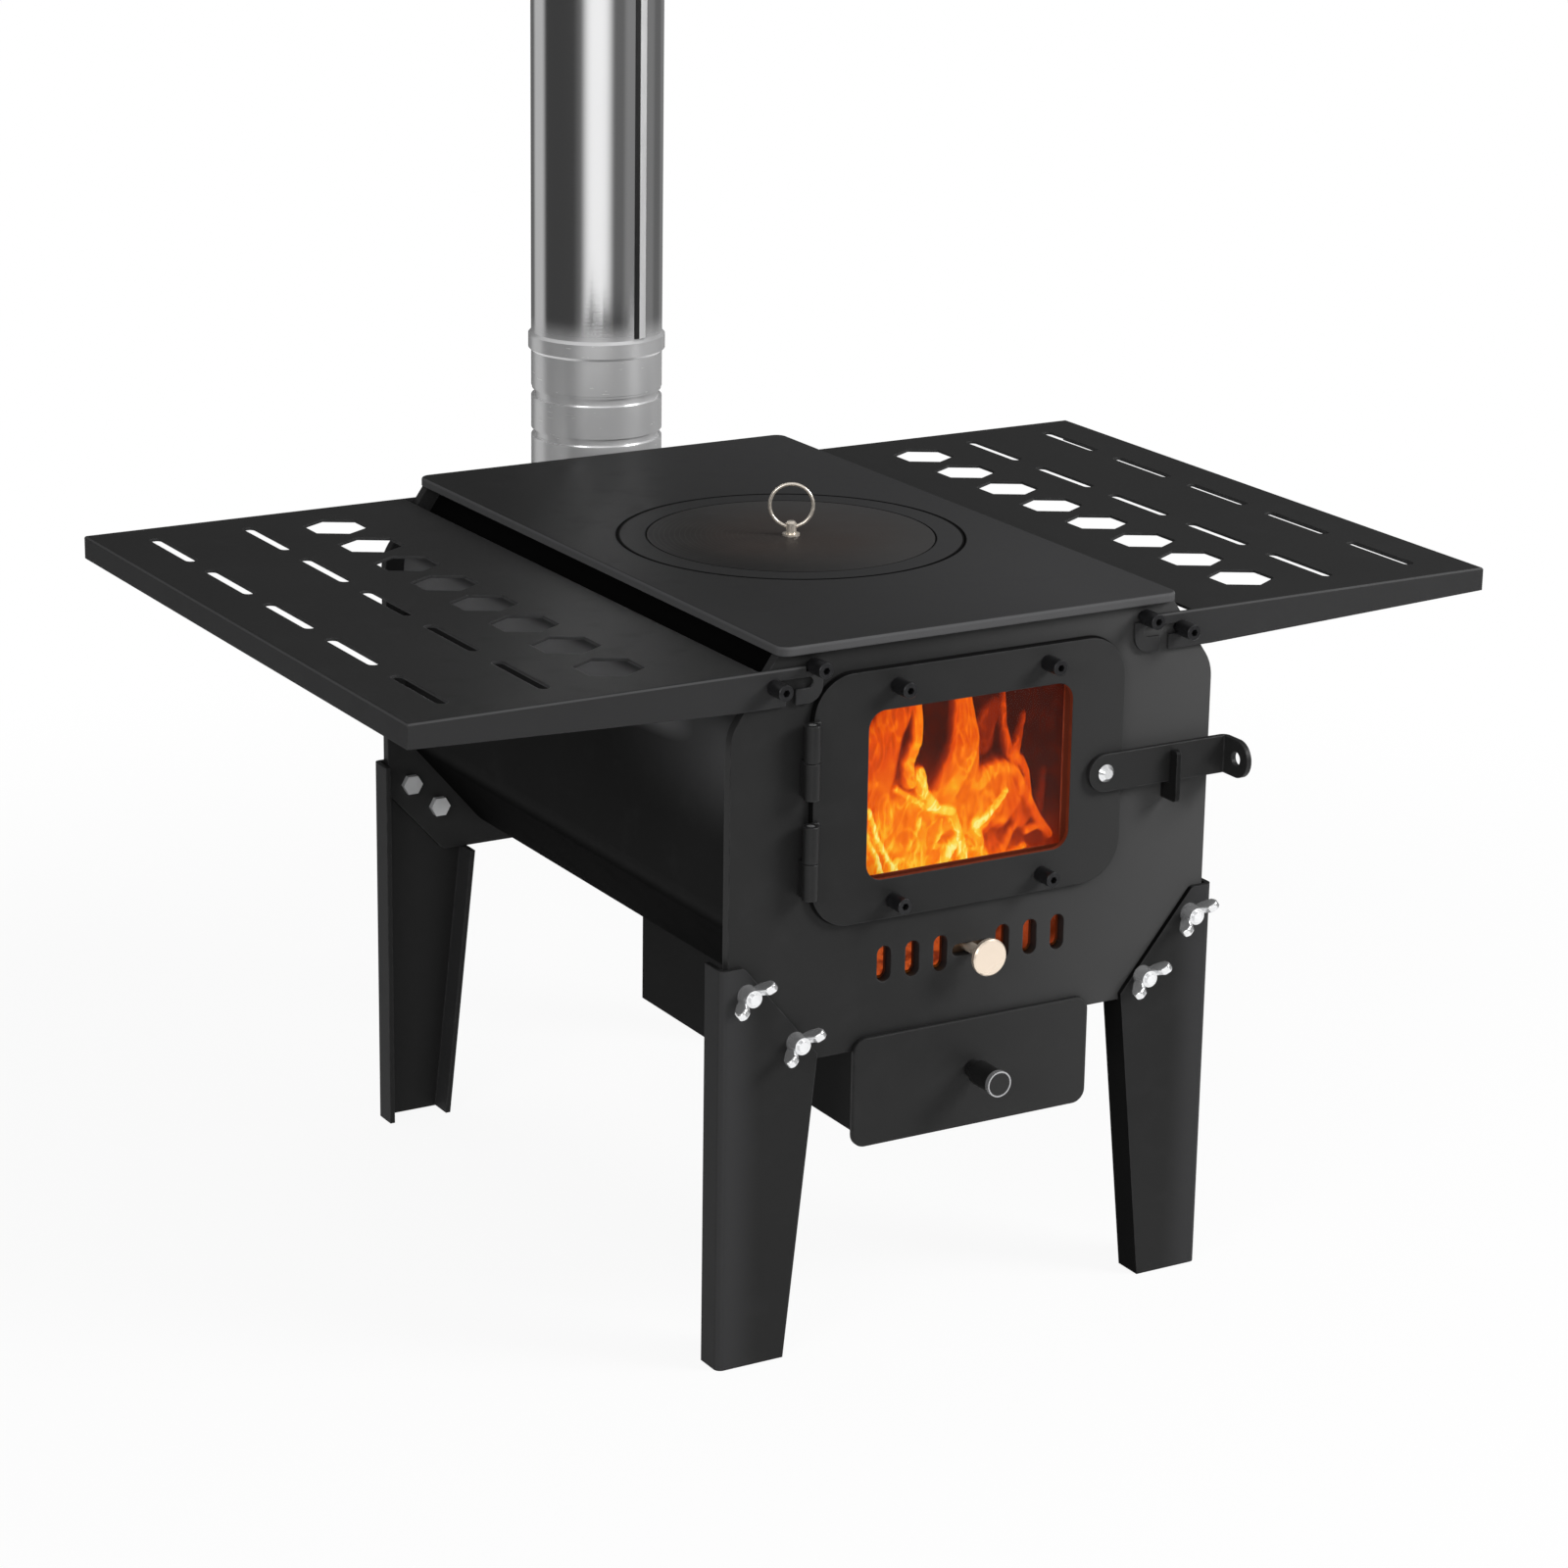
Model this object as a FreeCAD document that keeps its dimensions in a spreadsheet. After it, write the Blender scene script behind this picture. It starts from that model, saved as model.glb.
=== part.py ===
import FreeCAD, Part
import math
import os
import Sketcher

# A tent stove: two upright plates with a bent firebox shell between them, a hob on top,
# a glazed door, an air slide, an ash drawer below, four channel legs, two hook-on side
# shelves and a rear flue. Millimetres. The pieces are drawn with the front plate's face at
# y = 0, then moved so that the origin is on the ground under the middle of the whole stove.

SIZES = {
    # Front and back plates
    "body_depth": 422.0,
    "plate_thickness": 6.0,
    "plate_width": 306.0,
    "plate_bottom": 170.0,
    "plate_height": 228.6,
    "upper_corner_width": 28.0,
    "upper_corner_height": 40.0,
    "lower_corner_width": 36.5,
    "lower_corner_height": 40.5,
    "plate_side_radius": 25.0,
    "plate_lower_radius": 6.0,
    # Firebox shell
    "shell_inset": 12.0,
    "shell_rise": 10.0,
    "shell_wall": 2.0,
    "shell_bend": 22.0,
    "shell_lower_width": 55.0,
    "shell_lower_height": 64.0,
    "ash_hole_width": 110.0,
    "ash_hole_depth": 170.0,
    "ash_hole_start": 30.0,
    # Cooktop, reducer ring and lid
    "cooktop_width": 252.0,
    "cooktop_overhang": 5.0,
    "cooktop_thickness": 5.0,
    "cooktop_corner": 7.0,
    "cooktop_edge": 1.5,
    "hob_centre": 200.0,
    "ring_diameter": 198.0,
    "ring_lip": 2.5,
    "ring_hub": 5.0,
    "hob_ledge": 6.0,
    "lid_diameter": 164.5,
    "lid_ledge": 7.0,
    "hob_gap": 0.6,
    "lid_post_radius": 3.0,
    "lid_post_flange": 5.0,
    "lid_post_flange_height": 1.2,
    "lid_post_height": 8.4,
    "lid_post_dome": 1.2,
    "lid_ring_radius": 12.4,
    "lid_ring_wire": 1.0,
    "lid_eye_height": 5.1,
    "lid_eye_radius": 1.75,
    # Door
    "door_width": 197.0,
    "door_height": 140.0,
    "door_bottom": 244.0,
    "door_offset": 6.0,
    "door_thickness": 3.0,
    "door_gap": 0.5,
    "door_corner": 24.0,
    "door_hole_width": 181.0,
    "door_hole_height": 132.0,
    "door_hole_corner": 16.0,
    "window_width": 129.5,
    "window_height": 94.5,
    "window_corner": 10.0,
    "glass_lap": 6.0,
    "glass_thickness": 4.0,
    "gasket_thickness": 1.0,
    "gasket_lap": 4.0,
    "retainer_width": 160.0,
    "retainer_height": 130.0,
    "retainer_thickness": 1.5,
    "retainer_corner": 8.0,
    "door_screw_across": 95.0,
    "door_screw_up": 120.0,
    "door_screw_radius": 2.0,
    "door_screw_head_radius": 4.4,
    "door_screw_head": 13.0,
    "door_nut_flats": 7.0,
    "door_nut_height": 3.2,
    "socket_flats": 3.6,
    "socket_depth": 4.0,
    "head_chamfer": 0.4,
    # Door hinges
    "knuckle_radius": 4.5,
    "knuckle_height": 20.2,
    "knuckle_gap": 0.5,
    "hinge_pin_radius": 2.0,
    "upper_hinge_bottom": 320.0,
    "lower_hinge_bottom": 264.5,
    "knuckle_inset": 4.0,
    "knuckle_foot": 5.0,
    "knuckle_tab": 2.0,
    "knuckle_leaf": 3.0,
    # Latch
    "latch_inset": 12.5,
    "latch_height": 307.0,
    "latch_bar_height": 21.5,
    "latch_thickness": 3.0,
    "latch_reach": 82.0,
    "latch_tip": 25.0,
    "latch_tip_hole": 4.0,
    "latch_bend": 4.5,
    "latch_gap": 0.5,
    "rivet_radius": 2.5,
    "rivet_head_radius": 5.0,
    "rivet_head_height": 2.4,
    "rivet_tail_radius": 3.4,
    "rivet_tail_height": 1.2,
    "catch_from_pivot": 42.0,
    "catch_thickness": 3.0,
    "catch_reach": 14.5,
    "catch_foot": 10.0,
    "catch_round": 2.5,
    # Air slide
    "vent_width": 9.0,
    "vent_height": 20.5,
    "vent_pitch": 18.0,
    "vent_first": 20.0,
    "vent_centre": 217.0,
    "air_slot_height": 7.0,
    "air_travel": 9.0,
    "air_slide_thickness": 2.0,
    "air_slide_height": 28.0,
    "air_slide_margin": 2.5,
    "air_guide_height": 5.0,
    "air_guide_lap": 4.0,
    "air_guide_lip": 1.5,
    "air_stem_radius": 3.0,
    "air_stem_length": 16.5,
    "air_knob_radius": 10.5,
    "air_knob_thickness": 3.0,
    "air_knob_round": 0.8,
    # Ash box and drawer
    "ash_box_width": 146.0,
    "ash_box_depth": 240.0,
    "ash_box_bottom": 122.5,
    "ash_box_wall": 1.5,
    "tray_side_gap": 2.0,
    "tray_floor_gap": 0.4,
    "tray_wall": 1.5,
    "tray_height": 41.0,
    "tray_back_gap": 6.0,
    "drawer_front_width": 152.0,
    "drawer_front_height": 63.0,
    "drawer_front_bottom": 114.4,
    "drawer_front_thickness": 3.0,
    "drawer_front_gap": 1.0,
    "drawer_front_corner": 8.0,
    "drawer_front_edge": 1.0,
    "drawer_knob_height": 148.0,
    "drawer_knob_neck_radius": 5.0,
    "drawer_knob_neck": 6.0,
    "drawer_knob_radius": 7.0,
    "drawer_knob_length": 28.0,
    "drawer_knob_round": 1.2,
    "ferrule_length": 3.0,
    "ferrule_radius": 7.4,
    "ferrule_step": 0.4,
    "knob_screw_radius": 2.5,
    "knob_screw_head_radius": 4.5,
    "knob_screw_head": 2.6,
    "knob_screw_bite": 14.0,
    # Fire grate
    "grate_width": 130.0,
    "grate_depth": 190.0,
    "grate_thickness": 5.0,
    "grate_slot_length": 96.0,
    "grate_slot_width": 8.0,
    "grate_slot_pitch": 24.0,
    # Legs
    "leg_outer": 158.5,
    "leg_top": 230.0,
    "leg_top_width": 14.0,
    "leg_waist": 174.0,
    "leg_waist_inner": 98.5,
    "leg_foot_inner": 117.5,
    "leg_sheet": 3.0,
    "leg_flange": 15.0,
    "leg_bend": 4.0,
    "leg_corner": 4.0,
    # Leg bolts and wing nuts
    "front_bolt_high_across": 143.0,
    "front_bolt_high_up": 215.0,
    "front_bolt_low_across": 112.5,
    "front_bolt_low_up": 183.0,
    "rear_bolt_high_across": 138.0,
    "rear_bolt_high_up": 215.0,
    "rear_bolt_low_across": 119.5,
    "rear_bolt_low_up": 198.5,
    "bolt_radius": 3.0,
    "bolt_head_flats": 11.0,
    "bolt_head_height": 4.0,
    "bolt_end": 1.5,
    "wing_hub_radius": 5.8,
    "wing_hub_top_radius": 4.8,
    "wing_hub_height": 8.0,
    "wing_reach": 14.0,
    "wing_rise": 14.0,
    "wing_thickness": 5.0,
    "wing_round": 2.4,
    "wing_edge": 1.2,
    # Side shelves and their studs
    "shelf_outer": 339.6,
    "shelf_inner": 137.5,
    "shelf_top": 391.5,
    "shelf_sheet": 1.6,
    "shelf_gap": 1.0,
    "shelf_lip": 13.4,
    "shelf_lip_inner": 20.5,
    "shelf_hook_run": 21.0,
    "shelf_rear_lip": 8.0,
    "shelf_rear_rise": 8.0,
    "shelf_edge": 1.5,
    "stud_radius": 2.7,
    "stud_slack": 0.3,
    "stud_head_radius": 4.4,
    "stud_head": 12.5,
    "stud_stand": 0.7,
    "outer_stud_across": 129.0,
    "outer_stud_up": 382.5,
    "inner_stud_across": 105.0,
    "inner_stud_up": 391.4,
    "hook_end": 99.0,
    "hook_round": 9.5,
    "hook_mouth": 118.5,
    "hook_channel_inner": 105.0,
    "hook_step": 109.5,
    "hexagon_flats": 33.0,
    "hexagon_pitch": 48.0,
    "slot_length": 58.0,
    "slot_width": 7.0,
    "slot_pitch": 80.0,
    # Flue
    "flue_offset": 18.0,
    "flue_behind": 48.0,
    "flue_height": 335.0,
    "flue_radius": 40.5,
    "flue_wall": 0.8,
    "flue_slack": 0.3,
    "collar_wall": 1.5,
    "collar_reach": 20.0,
    "collar_flange": 8.0,
    "collar_flange_thickness": 2.0,
    "tee_down": 55.0,
    "tee_rise": 96.0,
    "branch_step": 0.6,
    "tee_groove_depth": 2.2,
    "tee_groove_height": 5.0,
    "tee_band_height": 20.0,
    "tee_stop_height": 1.5,
    "tee_stop_lap": 0.3,
    "neck_length": 22.0,
    "neck_wall": 0.9,
    "cap_depth": 14.0,
    "cap_wall": 1.2,
    "pipe_length": 400.0,
    "bead_height": 12.0,
    "bead_rise": 1.8,
    "bead_above_rim": 22.0,
    # Fits
    "bolt_slack": 0.2,
    "running_slack": 0.05,
    "seat_gap": 0.2,
    "overrun": 1.0,
}

VENTS_EACH_SIDE = 3
GRATE_SLOTS = 7
SHELF_HEXAGONS = 8
SHELF_SLOTS = 5
FULL_TURN = 360
LID_RING_TURN = -30
WING_TURN = 35
FLATS_ASIDE_SHARE = 0.5
NEAR = 0.001
LEFT, RIGHT = -1, 1

doc = FreeCAD.newDocument("camping_stove")
sheet = doc.addObject("Spreadsheet::Sheet", "Sizes")
for row, (alias, number) in enumerate(SIZES.items(), start=1):
    sheet.set(f"A{row}", str(number))
    sheet.setAlias(f"A{row}", alias)
doc.recompute()


class Size:
    """A length with its value now and the spreadsheet expression that gives it."""

    def __init__(self, value, text):
        self.value = value
        self.text = text

    def __add__(self, other):
        other = as_size(other)
        return Size(self.value + other.value, f"({self.text} + {other.text})")

    def __sub__(self, other):
        other = as_size(other)
        return Size(self.value - other.value, f"({self.text} - {other.text})")

    def __mul__(self, share):
        return Size(self.value * share, f"({self.text} * {share:.9f})")

    def __truediv__(self, count):
        return Size(self.value / count, f"({self.text} / {count})")

    def __neg__(self):
        return Size(-self.value, f"(-{self.text})")

    __radd__ = __add__
    __rmul__ = __mul__


class Sheet:
    """The spreadsheet's sizes by name."""

    def __init__(self):
        for name, value in SIZES.items():
            setattr(self, name, Size(value, f"Sizes.{name}"))


def as_size(number):
    return number if isinstance(number, Size) else Size(number, str(number))


def bind(item, prop, size):
    item.setExpression(prop, as_size(size).text)


ZERO = as_size(0)
d = Sheet()
nodes = []


def keep(item, label):
    """Names a finished sub-part and moves it back, so that the stove's middle is the origin."""
    along = dict(item.ExpressionEngine).get(".Placement.Base.y", ZERO.text)
    item.setExpression("Placement.Base.y", f"{along} - {stove_middle.text}")
    item.Label = label
    nodes.append(item)
    return item


def new_body(name):
    return doc.addObject("PartDesign::Body", name)


# Drawing planes: the body's own plane, and which way its normal runs along the third axis.
PLANES = {"front": ("XZ_Plane", -1), "side": ("YZ_Plane", 1), "top": ("XY_Plane", 1)}


def sketch_on(body, plane, start):
    role, normal = PLANES[plane]
    sketch = body.newObject("Sketcher::SketchObject", "Sketch")
    origin_plane = next(item for item in body.Origin.OriginFeatures if item.Role == role)
    sketch.AttachmentSupport = [(origin_plane, "")]
    sketch.MapMode = "FlatFace"
    bind(sketch, "AttachmentOffset.Base.z", as_size(start) * normal)
    return sketch


def set_size(sketch, constraint, size):
    index = sketch.addConstraint(constraint)
    sketch.setExpression(f"Constraints[{index}]", size.text)


def pin_point(sketch, geometry, end, across, up):
    across, up = as_size(across), as_size(up)
    set_size(sketch, Sketcher.Constraint("DistanceX", -1, 1, geometry, end, across.value), across)
    set_size(sketch, Sketcher.Constraint("DistanceY", -1, 1, geometry, end, up.value), up)


def point_of(across, up):
    return FreeCAD.Vector(as_size(across).value, as_size(up).value, 0)


def draw_outline(sketch, corners):
    """A closed outline of straight lines, each corner bound to its two sizes."""
    first = sketch.GeometryCount
    count = len(corners)
    for index in range(count):
        line = Part.LineSegment(point_of(*corners[index]), point_of(*corners[(index + 1) % count]))
        sketch.addGeometry(line, False)
    for index in range(count):
        following = first + (index + 1) % count
        sketch.addConstraint(Sketcher.Constraint("Coincident", first + index, 2, following, 1))
    for index, corner in enumerate(corners):
        pin_point(sketch, first + index, 1, *corner)


def draw_circle(sketch, across, up, radius):
    circle = Part.Circle(point_of(across, up), FreeCAD.Vector(0, 0, 1), radius.value)
    index = sketch.addGeometry(circle, False)
    pin_point(sketch, index, 3, across, up)
    set_size(sketch, Sketcher.Constraint("Radius", index, radius.value), radius)


def draw_slot(sketch, across, up, width, length, lying=False):
    """A slot with round ends about its centre, standing on end unless it lies across."""
    radius = width / 2
    half = length / 2 - radius
    ahead = (half, ZERO) if lying else (ZERO, half)
    beside = (ZERO, radius) if lying else (-radius, ZERO)
    turn = -math.pi / 2 if lying else 0
    normal = FreeCAD.Vector(0, 0, 1)
    across, up = as_size(across), as_size(up)
    first = (across + ahead[0], up + ahead[1])
    last = (across - ahead[0], up - ahead[1])
    first_circle = Part.Circle(point_of(*first), normal, radius.value)
    last_circle = Part.Circle(point_of(*last), normal, radius.value)
    upper = sketch.addGeometry(Part.ArcOfCircle(first_circle, turn, turn + math.pi), False)
    lower = sketch.addGeometry(Part.ArcOfCircle(last_circle, turn + math.pi, turn + 2 * math.pi), False)
    one_side = [point_of(x + beside[0], y + beside[1]) for x, y in (first, last)]
    other_side = [point_of(x - beside[0], y - beside[1]) for x, y in (last, first)]
    down = sketch.addGeometry(Part.LineSegment(*one_side), False)
    rise = sketch.addGeometry(Part.LineSegment(*other_side), False)
    for arc, arc_end, line, line_end in (
        (upper, 2, down, 1),
        (lower, 1, down, 2),
        (lower, 2, rise, 1),
        (upper, 1, rise, 2),
    ):
        sketch.addConstraint(Sketcher.Constraint("Tangent", arc, arc_end, line, line_end))
    pin_point(sketch, upper, 3, *first)
    pin_point(sketch, lower, 3, *last)
    set_size(sketch, Sketcher.Constraint("Radius", upper, radius.value), radius)
    sketch.addConstraint(Sketcher.Constraint("Equal", upper, lower))


def rectangle(left, right, low, high):
    return [(left, low), (right, low), (right, high), (left, high)]


def hexagon(across, up, flats, turn_share):
    """Corners of a regular hexagon, turned by a share of the angle between two corners."""
    radius = flats / math.sqrt(3)
    angles = [(index + turn_share) * math.pi / 3 for index in range(6)]
    return [(across + radius * math.cos(angle), up + radius * math.sin(angle)) for angle in angles]


def add_slab(body, plane, start, thickness, *outlines):
    """Adds flat material from start along the plane's third axis."""
    sketch = sketch_on(body, plane, start)
    for corners in outlines:
        draw_outline(sketch, corners)
    return pad_sketch(body, plane, sketch, thickness)


def pad_sketch(body, plane, sketch, thickness):
    pad = body.newObject("PartDesign::Pad", "Pad")
    pad.Profile = sketch
    pad.Reversed = PLANES[plane][1] < 0
    bind(pad, "Length", thickness)
    return pad


def add_disc(body, plane, start, thickness, across, up, radius):
    sketch = sketch_on(body, plane, start)
    draw_circle(sketch, across, up, radius)
    return pad_sketch(body, plane, sketch, thickness)


def cut_sketch(body, plane, sketch, depth):
    """Takes the sketch away from its plane on along the third axis, and checks that it cut."""
    doc.recompute()
    before = body.Shape.Volume
    pocket = body.newObject("PartDesign::Pocket", "Pocket")
    pocket.Profile = sketch
    pocket.Reversed = PLANES[plane][1] > 0
    bind(pocket, "Length", depth)
    doc.recompute()
    if body.Shape.Volume > before - NEAR:
        raise RuntimeError(f"a cut in {body.Name} removes nothing")
    return pocket


def cut_slab(body, plane, start, depth, *outlines):
    sketch = sketch_on(body, plane, start)
    for corners in outlines:
        draw_outline(sketch, corners)
    return cut_sketch(body, plane, sketch, depth)


def cut_holes(body, plane, start, depth, centres, radius):
    sketch = sketch_on(body, plane, start)
    for across, up in centres:
        draw_circle(sketch, across, up, radius)
    return cut_sketch(body, plane, sketch, depth)


def repeat(body, feature, axis, span, count):
    """Repeats a cut in a row along one of its sketch's axes."""
    pattern = body.newObject("PartDesign::LinearPattern", "LinearPattern")
    pattern.Originals = [feature]
    pattern.Direction = (feature.Profile[0], [axis])
    pattern.Occurrences = count
    bind(pattern, "Length", span)
    body.Tip = pattern
    return pattern


def round_edges(body, radius, axis, corners):
    """Rounds the edges that run along an axis at the given places on the other two axes."""
    doc.recompute()
    others = [index for index in range(3) if index != axis]
    wanted = [[as_size(size).value for size in corner] for corner in corners]

    def chosen(edge):
        points = [vertex.Point for vertex in edge.Vertexes]
        if len(points) != 2 or abs(points[0][axis] - points[1][axis]) < NEAR:
            return False
        return any(
            all(abs(point[index] - place) < NEAR for point in points for index, place in zip(others, corner))
            for corner in wanted
        )

    add_fillet(body, radius, chosen)


def add_fillet(body, radius, chosen):
    base = body.Tip
    names = [f"Edge{index}" for index, edge in enumerate(base.Shape.Edges, start=1) if chosen(edge)]
    if not names:
        raise RuntimeError(f"no edges to round in {body.Name}")
    fillet = body.newObject("PartDesign::Fillet", "Fillet")
    fillet.Base = (base, names)
    bind(fillet, "Radius", radius)
    doc.recompute()


FRONTWARD = FreeCAD.Rotation(FreeCAD.Vector(1, 0, 0), 90)
REARWARD = FreeCAD.Rotation(FreeCAD.Vector(1, 0, 0), -90)
UPRIGHT = FreeCAD.Rotation()


def place(item, across, along, up, turn=UPRIGHT):
    item.Placement = FreeCAD.Placement(FreeCAD.Vector(), turn)
    for name, size in (("x", across), ("y", along), ("z", up)):
        bind(item, f"Placement.Base.{name}", size)
    return item


def turned(name, profile):
    """A solid turned about its own upright axis from a profile of radius and height."""
    body = new_body(name)
    add_turning(body, profile)
    return body


def add_turning(body, profile):
    sketch = sketch_on(body, "front", ZERO)
    draw_outline(sketch, profile)
    revolution = body.newObject("PartDesign::Revolution", "Revolution")
    revolution.Profile = sketch
    revolution.ReferenceAxis = (sketch, ["V_Axis"])
    revolution.Angle = FULL_TURN


def group(label, members):
    compound = doc.addObject("Part::Compound", label)
    compound.Links = members
    return keep(compound, label)


def box(name, left, front, low, across, along, up):
    item = doc.addObject("Part::Box", name)
    for prop, size in (("Length", across), ("Width", along), ("Height", up)):
        bind(item, prop, size)
    return place(item, left, front, low)


def rod(name, across, along, up, radius, length, turn=UPRIGHT):
    item = doc.addObject("Part::Cylinder", name)
    bind(item, "Radius", radius)
    bind(item, "Height", length)
    return place(item, across, along, up, turn)


def difference(name, base, tool):
    item = doc.addObject("Part::Cut", name)
    item.Base = base
    item.Tool = tool
    return item


def union(name, members):
    item = doc.addObject("Part::MultiFuse", name)
    item.Shapes = members
    return item


# Places that several pieces share
half_plate = d.plate_width / 2
plate_top = d.plate_bottom + d.plate_height
back_face = d.body_depth - d.plate_thickness
through_plate = d.plate_thickness + d.overrun * 2
cooktop_top = plate_top + d.cooktop_thickness
door_left = -d.door_offset - d.door_width / 2
door_right = door_left + d.door_width
door_middle = d.door_bottom + d.door_height / 2
door_back = -d.door_gap
door_front = door_back - d.door_thickness
stud_hole = d.stud_radius + d.running_slack
bolt_hole = d.bolt_radius + d.bolt_slack


def both_sides(*places):
    return [(across * side, up) for side in (LEFT, RIGHT) for across, up in places]


stud_places = both_sides((d.outer_stud_across, d.outer_stud_up), (d.inner_stud_across, d.inner_stud_up))
front_bolt_places = both_sides(
    (d.front_bolt_high_across, d.front_bolt_high_up), (d.front_bolt_low_across, d.front_bolt_low_up)
)
rear_bolt_places = both_sides(
    (d.rear_bolt_high_across, d.rear_bolt_high_up), (d.rear_bolt_low_across, d.rear_bolt_low_up)
)


def centred(width, height, across, up):
    return rectangle(across - width / 2, across + width / 2, up - height / 2, up + height / 2)


def end_plate(name, start):
    """An upright steel plate with cut-off corners that closes one end of the firebox."""
    low_side = d.plate_bottom + d.lower_corner_height
    high_side = plate_top - d.upper_corner_height
    right_half = [
        (half_plate - d.lower_corner_width, d.plate_bottom),
        (half_plate, low_side),
        (half_plate, high_side),
        (half_plate - d.upper_corner_width, plate_top),
    ]
    left_half = [(-across, up) for across, up in reversed(right_half)]
    body = new_body(name)
    add_slab(body, "front", start, d.plate_thickness, right_half + left_half)
    round_edges(body, d.plate_side_radius, 1, [(half_plate, high_side), (-half_plate, high_side)])
    lower = right_half[:2] + left_half[-2:]
    round_edges(body, d.plate_lower_radius, 1, lower)
    return body


def vent_places():
    steps = [d.vent_first + d.vent_pitch * step for step in range(VENTS_EACH_SIDE)]
    return both_sides(*((step, d.vent_centre) for step in steps))


air_slot_reach = d.air_travel + d.air_slot_height / 2


def make_front_plate():
    body = end_plate("front_plate", ZERO)
    hole = centred(d.door_hole_width, d.door_hole_height, -d.door_offset, door_middle)
    cut_slab(body, "front", -d.overrun, through_plate, hole)
    round_edges(body, d.door_hole_corner, 1, hole)
    sketch = sketch_on(body, "front", -d.overrun)
    for across, up in vent_places():
        draw_slot(sketch, across, up, d.vent_width, d.vent_height)
    draw_slot(sketch, ZERO, d.vent_centre, d.air_slot_height, air_slot_reach * 2, lying=True)
    cut_sketch(body, "front", sketch, through_plate)
    cut_holes(body, "front", -d.overrun, through_plate, stud_places, stud_hole)
    cut_holes(body, "front", -d.overrun, through_plate, front_bolt_places, bolt_hole)
    keep(body, "front_plate")


branch_radius = d.flue_radius - d.branch_step
branch_bore = branch_radius - d.flue_wall
collar_radius = branch_bore - d.flue_slack


def make_back_plate():
    body = end_plate("back_plate", back_face)
    start = back_face - d.overrun
    cut_holes(body, "front", start, through_plate, [(d.flue_offset, d.flue_height)], collar_radius)
    cut_holes(body, "front", start, through_plate, stud_places, stud_hole)
    cut_holes(body, "front", start, through_plate, rear_bolt_places, bolt_hole)
    keep(body, "back_plate")


shell_bottom = d.plate_bottom + d.shell_rise
shell_floor = shell_bottom + d.shell_wall
shell_depth = d.body_depth - d.plate_thickness * 2


def shell_side(inward):
    """The right half of the shell's section, from its floor up to the hob, moved inward by a wall."""
    side = half_plate - d.shell_inset - inward
    return [
        (side - d.shell_lower_width, shell_bottom + inward),
        (side, shell_bottom + d.shell_lower_height + inward),
        (side, plate_top - d.upper_corner_height),
        (side - d.upper_corner_width, plate_top),
    ]


def make_body_shell():
    outer, inner = shell_side(ZERO), shell_side(d.shell_wall)
    mirrored_outer = [(-across, up) for across, up in outer]
    mirrored_inner = [(-across, up) for across, up in inner]
    section = outer + inner[::-1] + mirrored_inner + mirrored_outer[::-1]
    body = new_body("body_shell")
    add_slab(body, "front", d.plate_thickness, shell_depth, section)
    round_edges(body, d.shell_bend + d.shell_wall, 1, outer[:3] + mirrored_outer[:3])
    round_edges(body, d.shell_bend, 1, inner[:3] + mirrored_inner[:3])
    half = d.ash_hole_width / 2
    hole = rectangle(-half, half, d.ash_hole_start, d.ash_hole_start + d.ash_hole_depth)
    cut_slab(body, "top", shell_bottom - d.overrun, d.shell_wall + d.overrun * 2, hole)
    keep(body, "body_shell")


def make_cooktop():
    half = d.cooktop_width / 2
    front, back = -d.cooktop_overhang, d.body_depth + d.cooktop_overhang
    corners = rectangle(-half, half, front, back)
    body = new_body("cooktop_plate")
    add_slab(body, "top", plate_top, d.cooktop_thickness, corners)
    round_edges(body, d.cooktop_corner, 2, corners)
    top = cooktop_top.value
    add_fillet(body, d.cooktop_edge, lambda edge: all(abs(v.Point.z - top) < NEAR for v in edge.Vertexes))
    centre = [(ZERO, d.hob_centre)]
    seat = cooktop_top - d.ring_lip
    ring_seat = d.ring_diameter / 2 + d.hob_gap
    cut_holes(body, "top", seat, d.ring_lip + d.overrun, centre, ring_seat)
    hole_depth = d.cooktop_thickness + d.overrun
    cut_holes(body, "top", plate_top - d.overrun, hole_depth, centre, ring_seat - d.hob_ledge)
    keep(body, "cooktop_plate")


def make_reducer_ring():
    """A stepped ring that seats in the hob opening and carries the lid."""
    rim = d.ring_diameter / 2
    hub = rim - d.hob_ledge
    lid_seat = d.lid_diameter / 2 + d.hob_gap
    bore = lid_seat - d.lid_ledge
    seat = -d.ring_lip
    foot = seat - d.ring_hub
    profile = [
        (bore, foot),
        (hub, foot),
        (hub, seat),
        (rim, seat),
        (rim, ZERO),
        (lid_seat, ZERO),
        (lid_seat, seat),
        (bore, seat),
    ]
    body = turned("reducer_ring", profile)
    keep(place(body, ZERO, d.hob_centre, cooktop_top), "reducer_ring")


def make_lid():
    radius = d.lid_diameter / 2
    profile = [(ZERO, -d.ring_lip), (radius, -d.ring_lip), (radius, ZERO), (ZERO, ZERO)]
    body = turned("centre_lid", profile)
    keep(place(body, ZERO, d.hob_centre, cooktop_top), "centre_lid")


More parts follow.
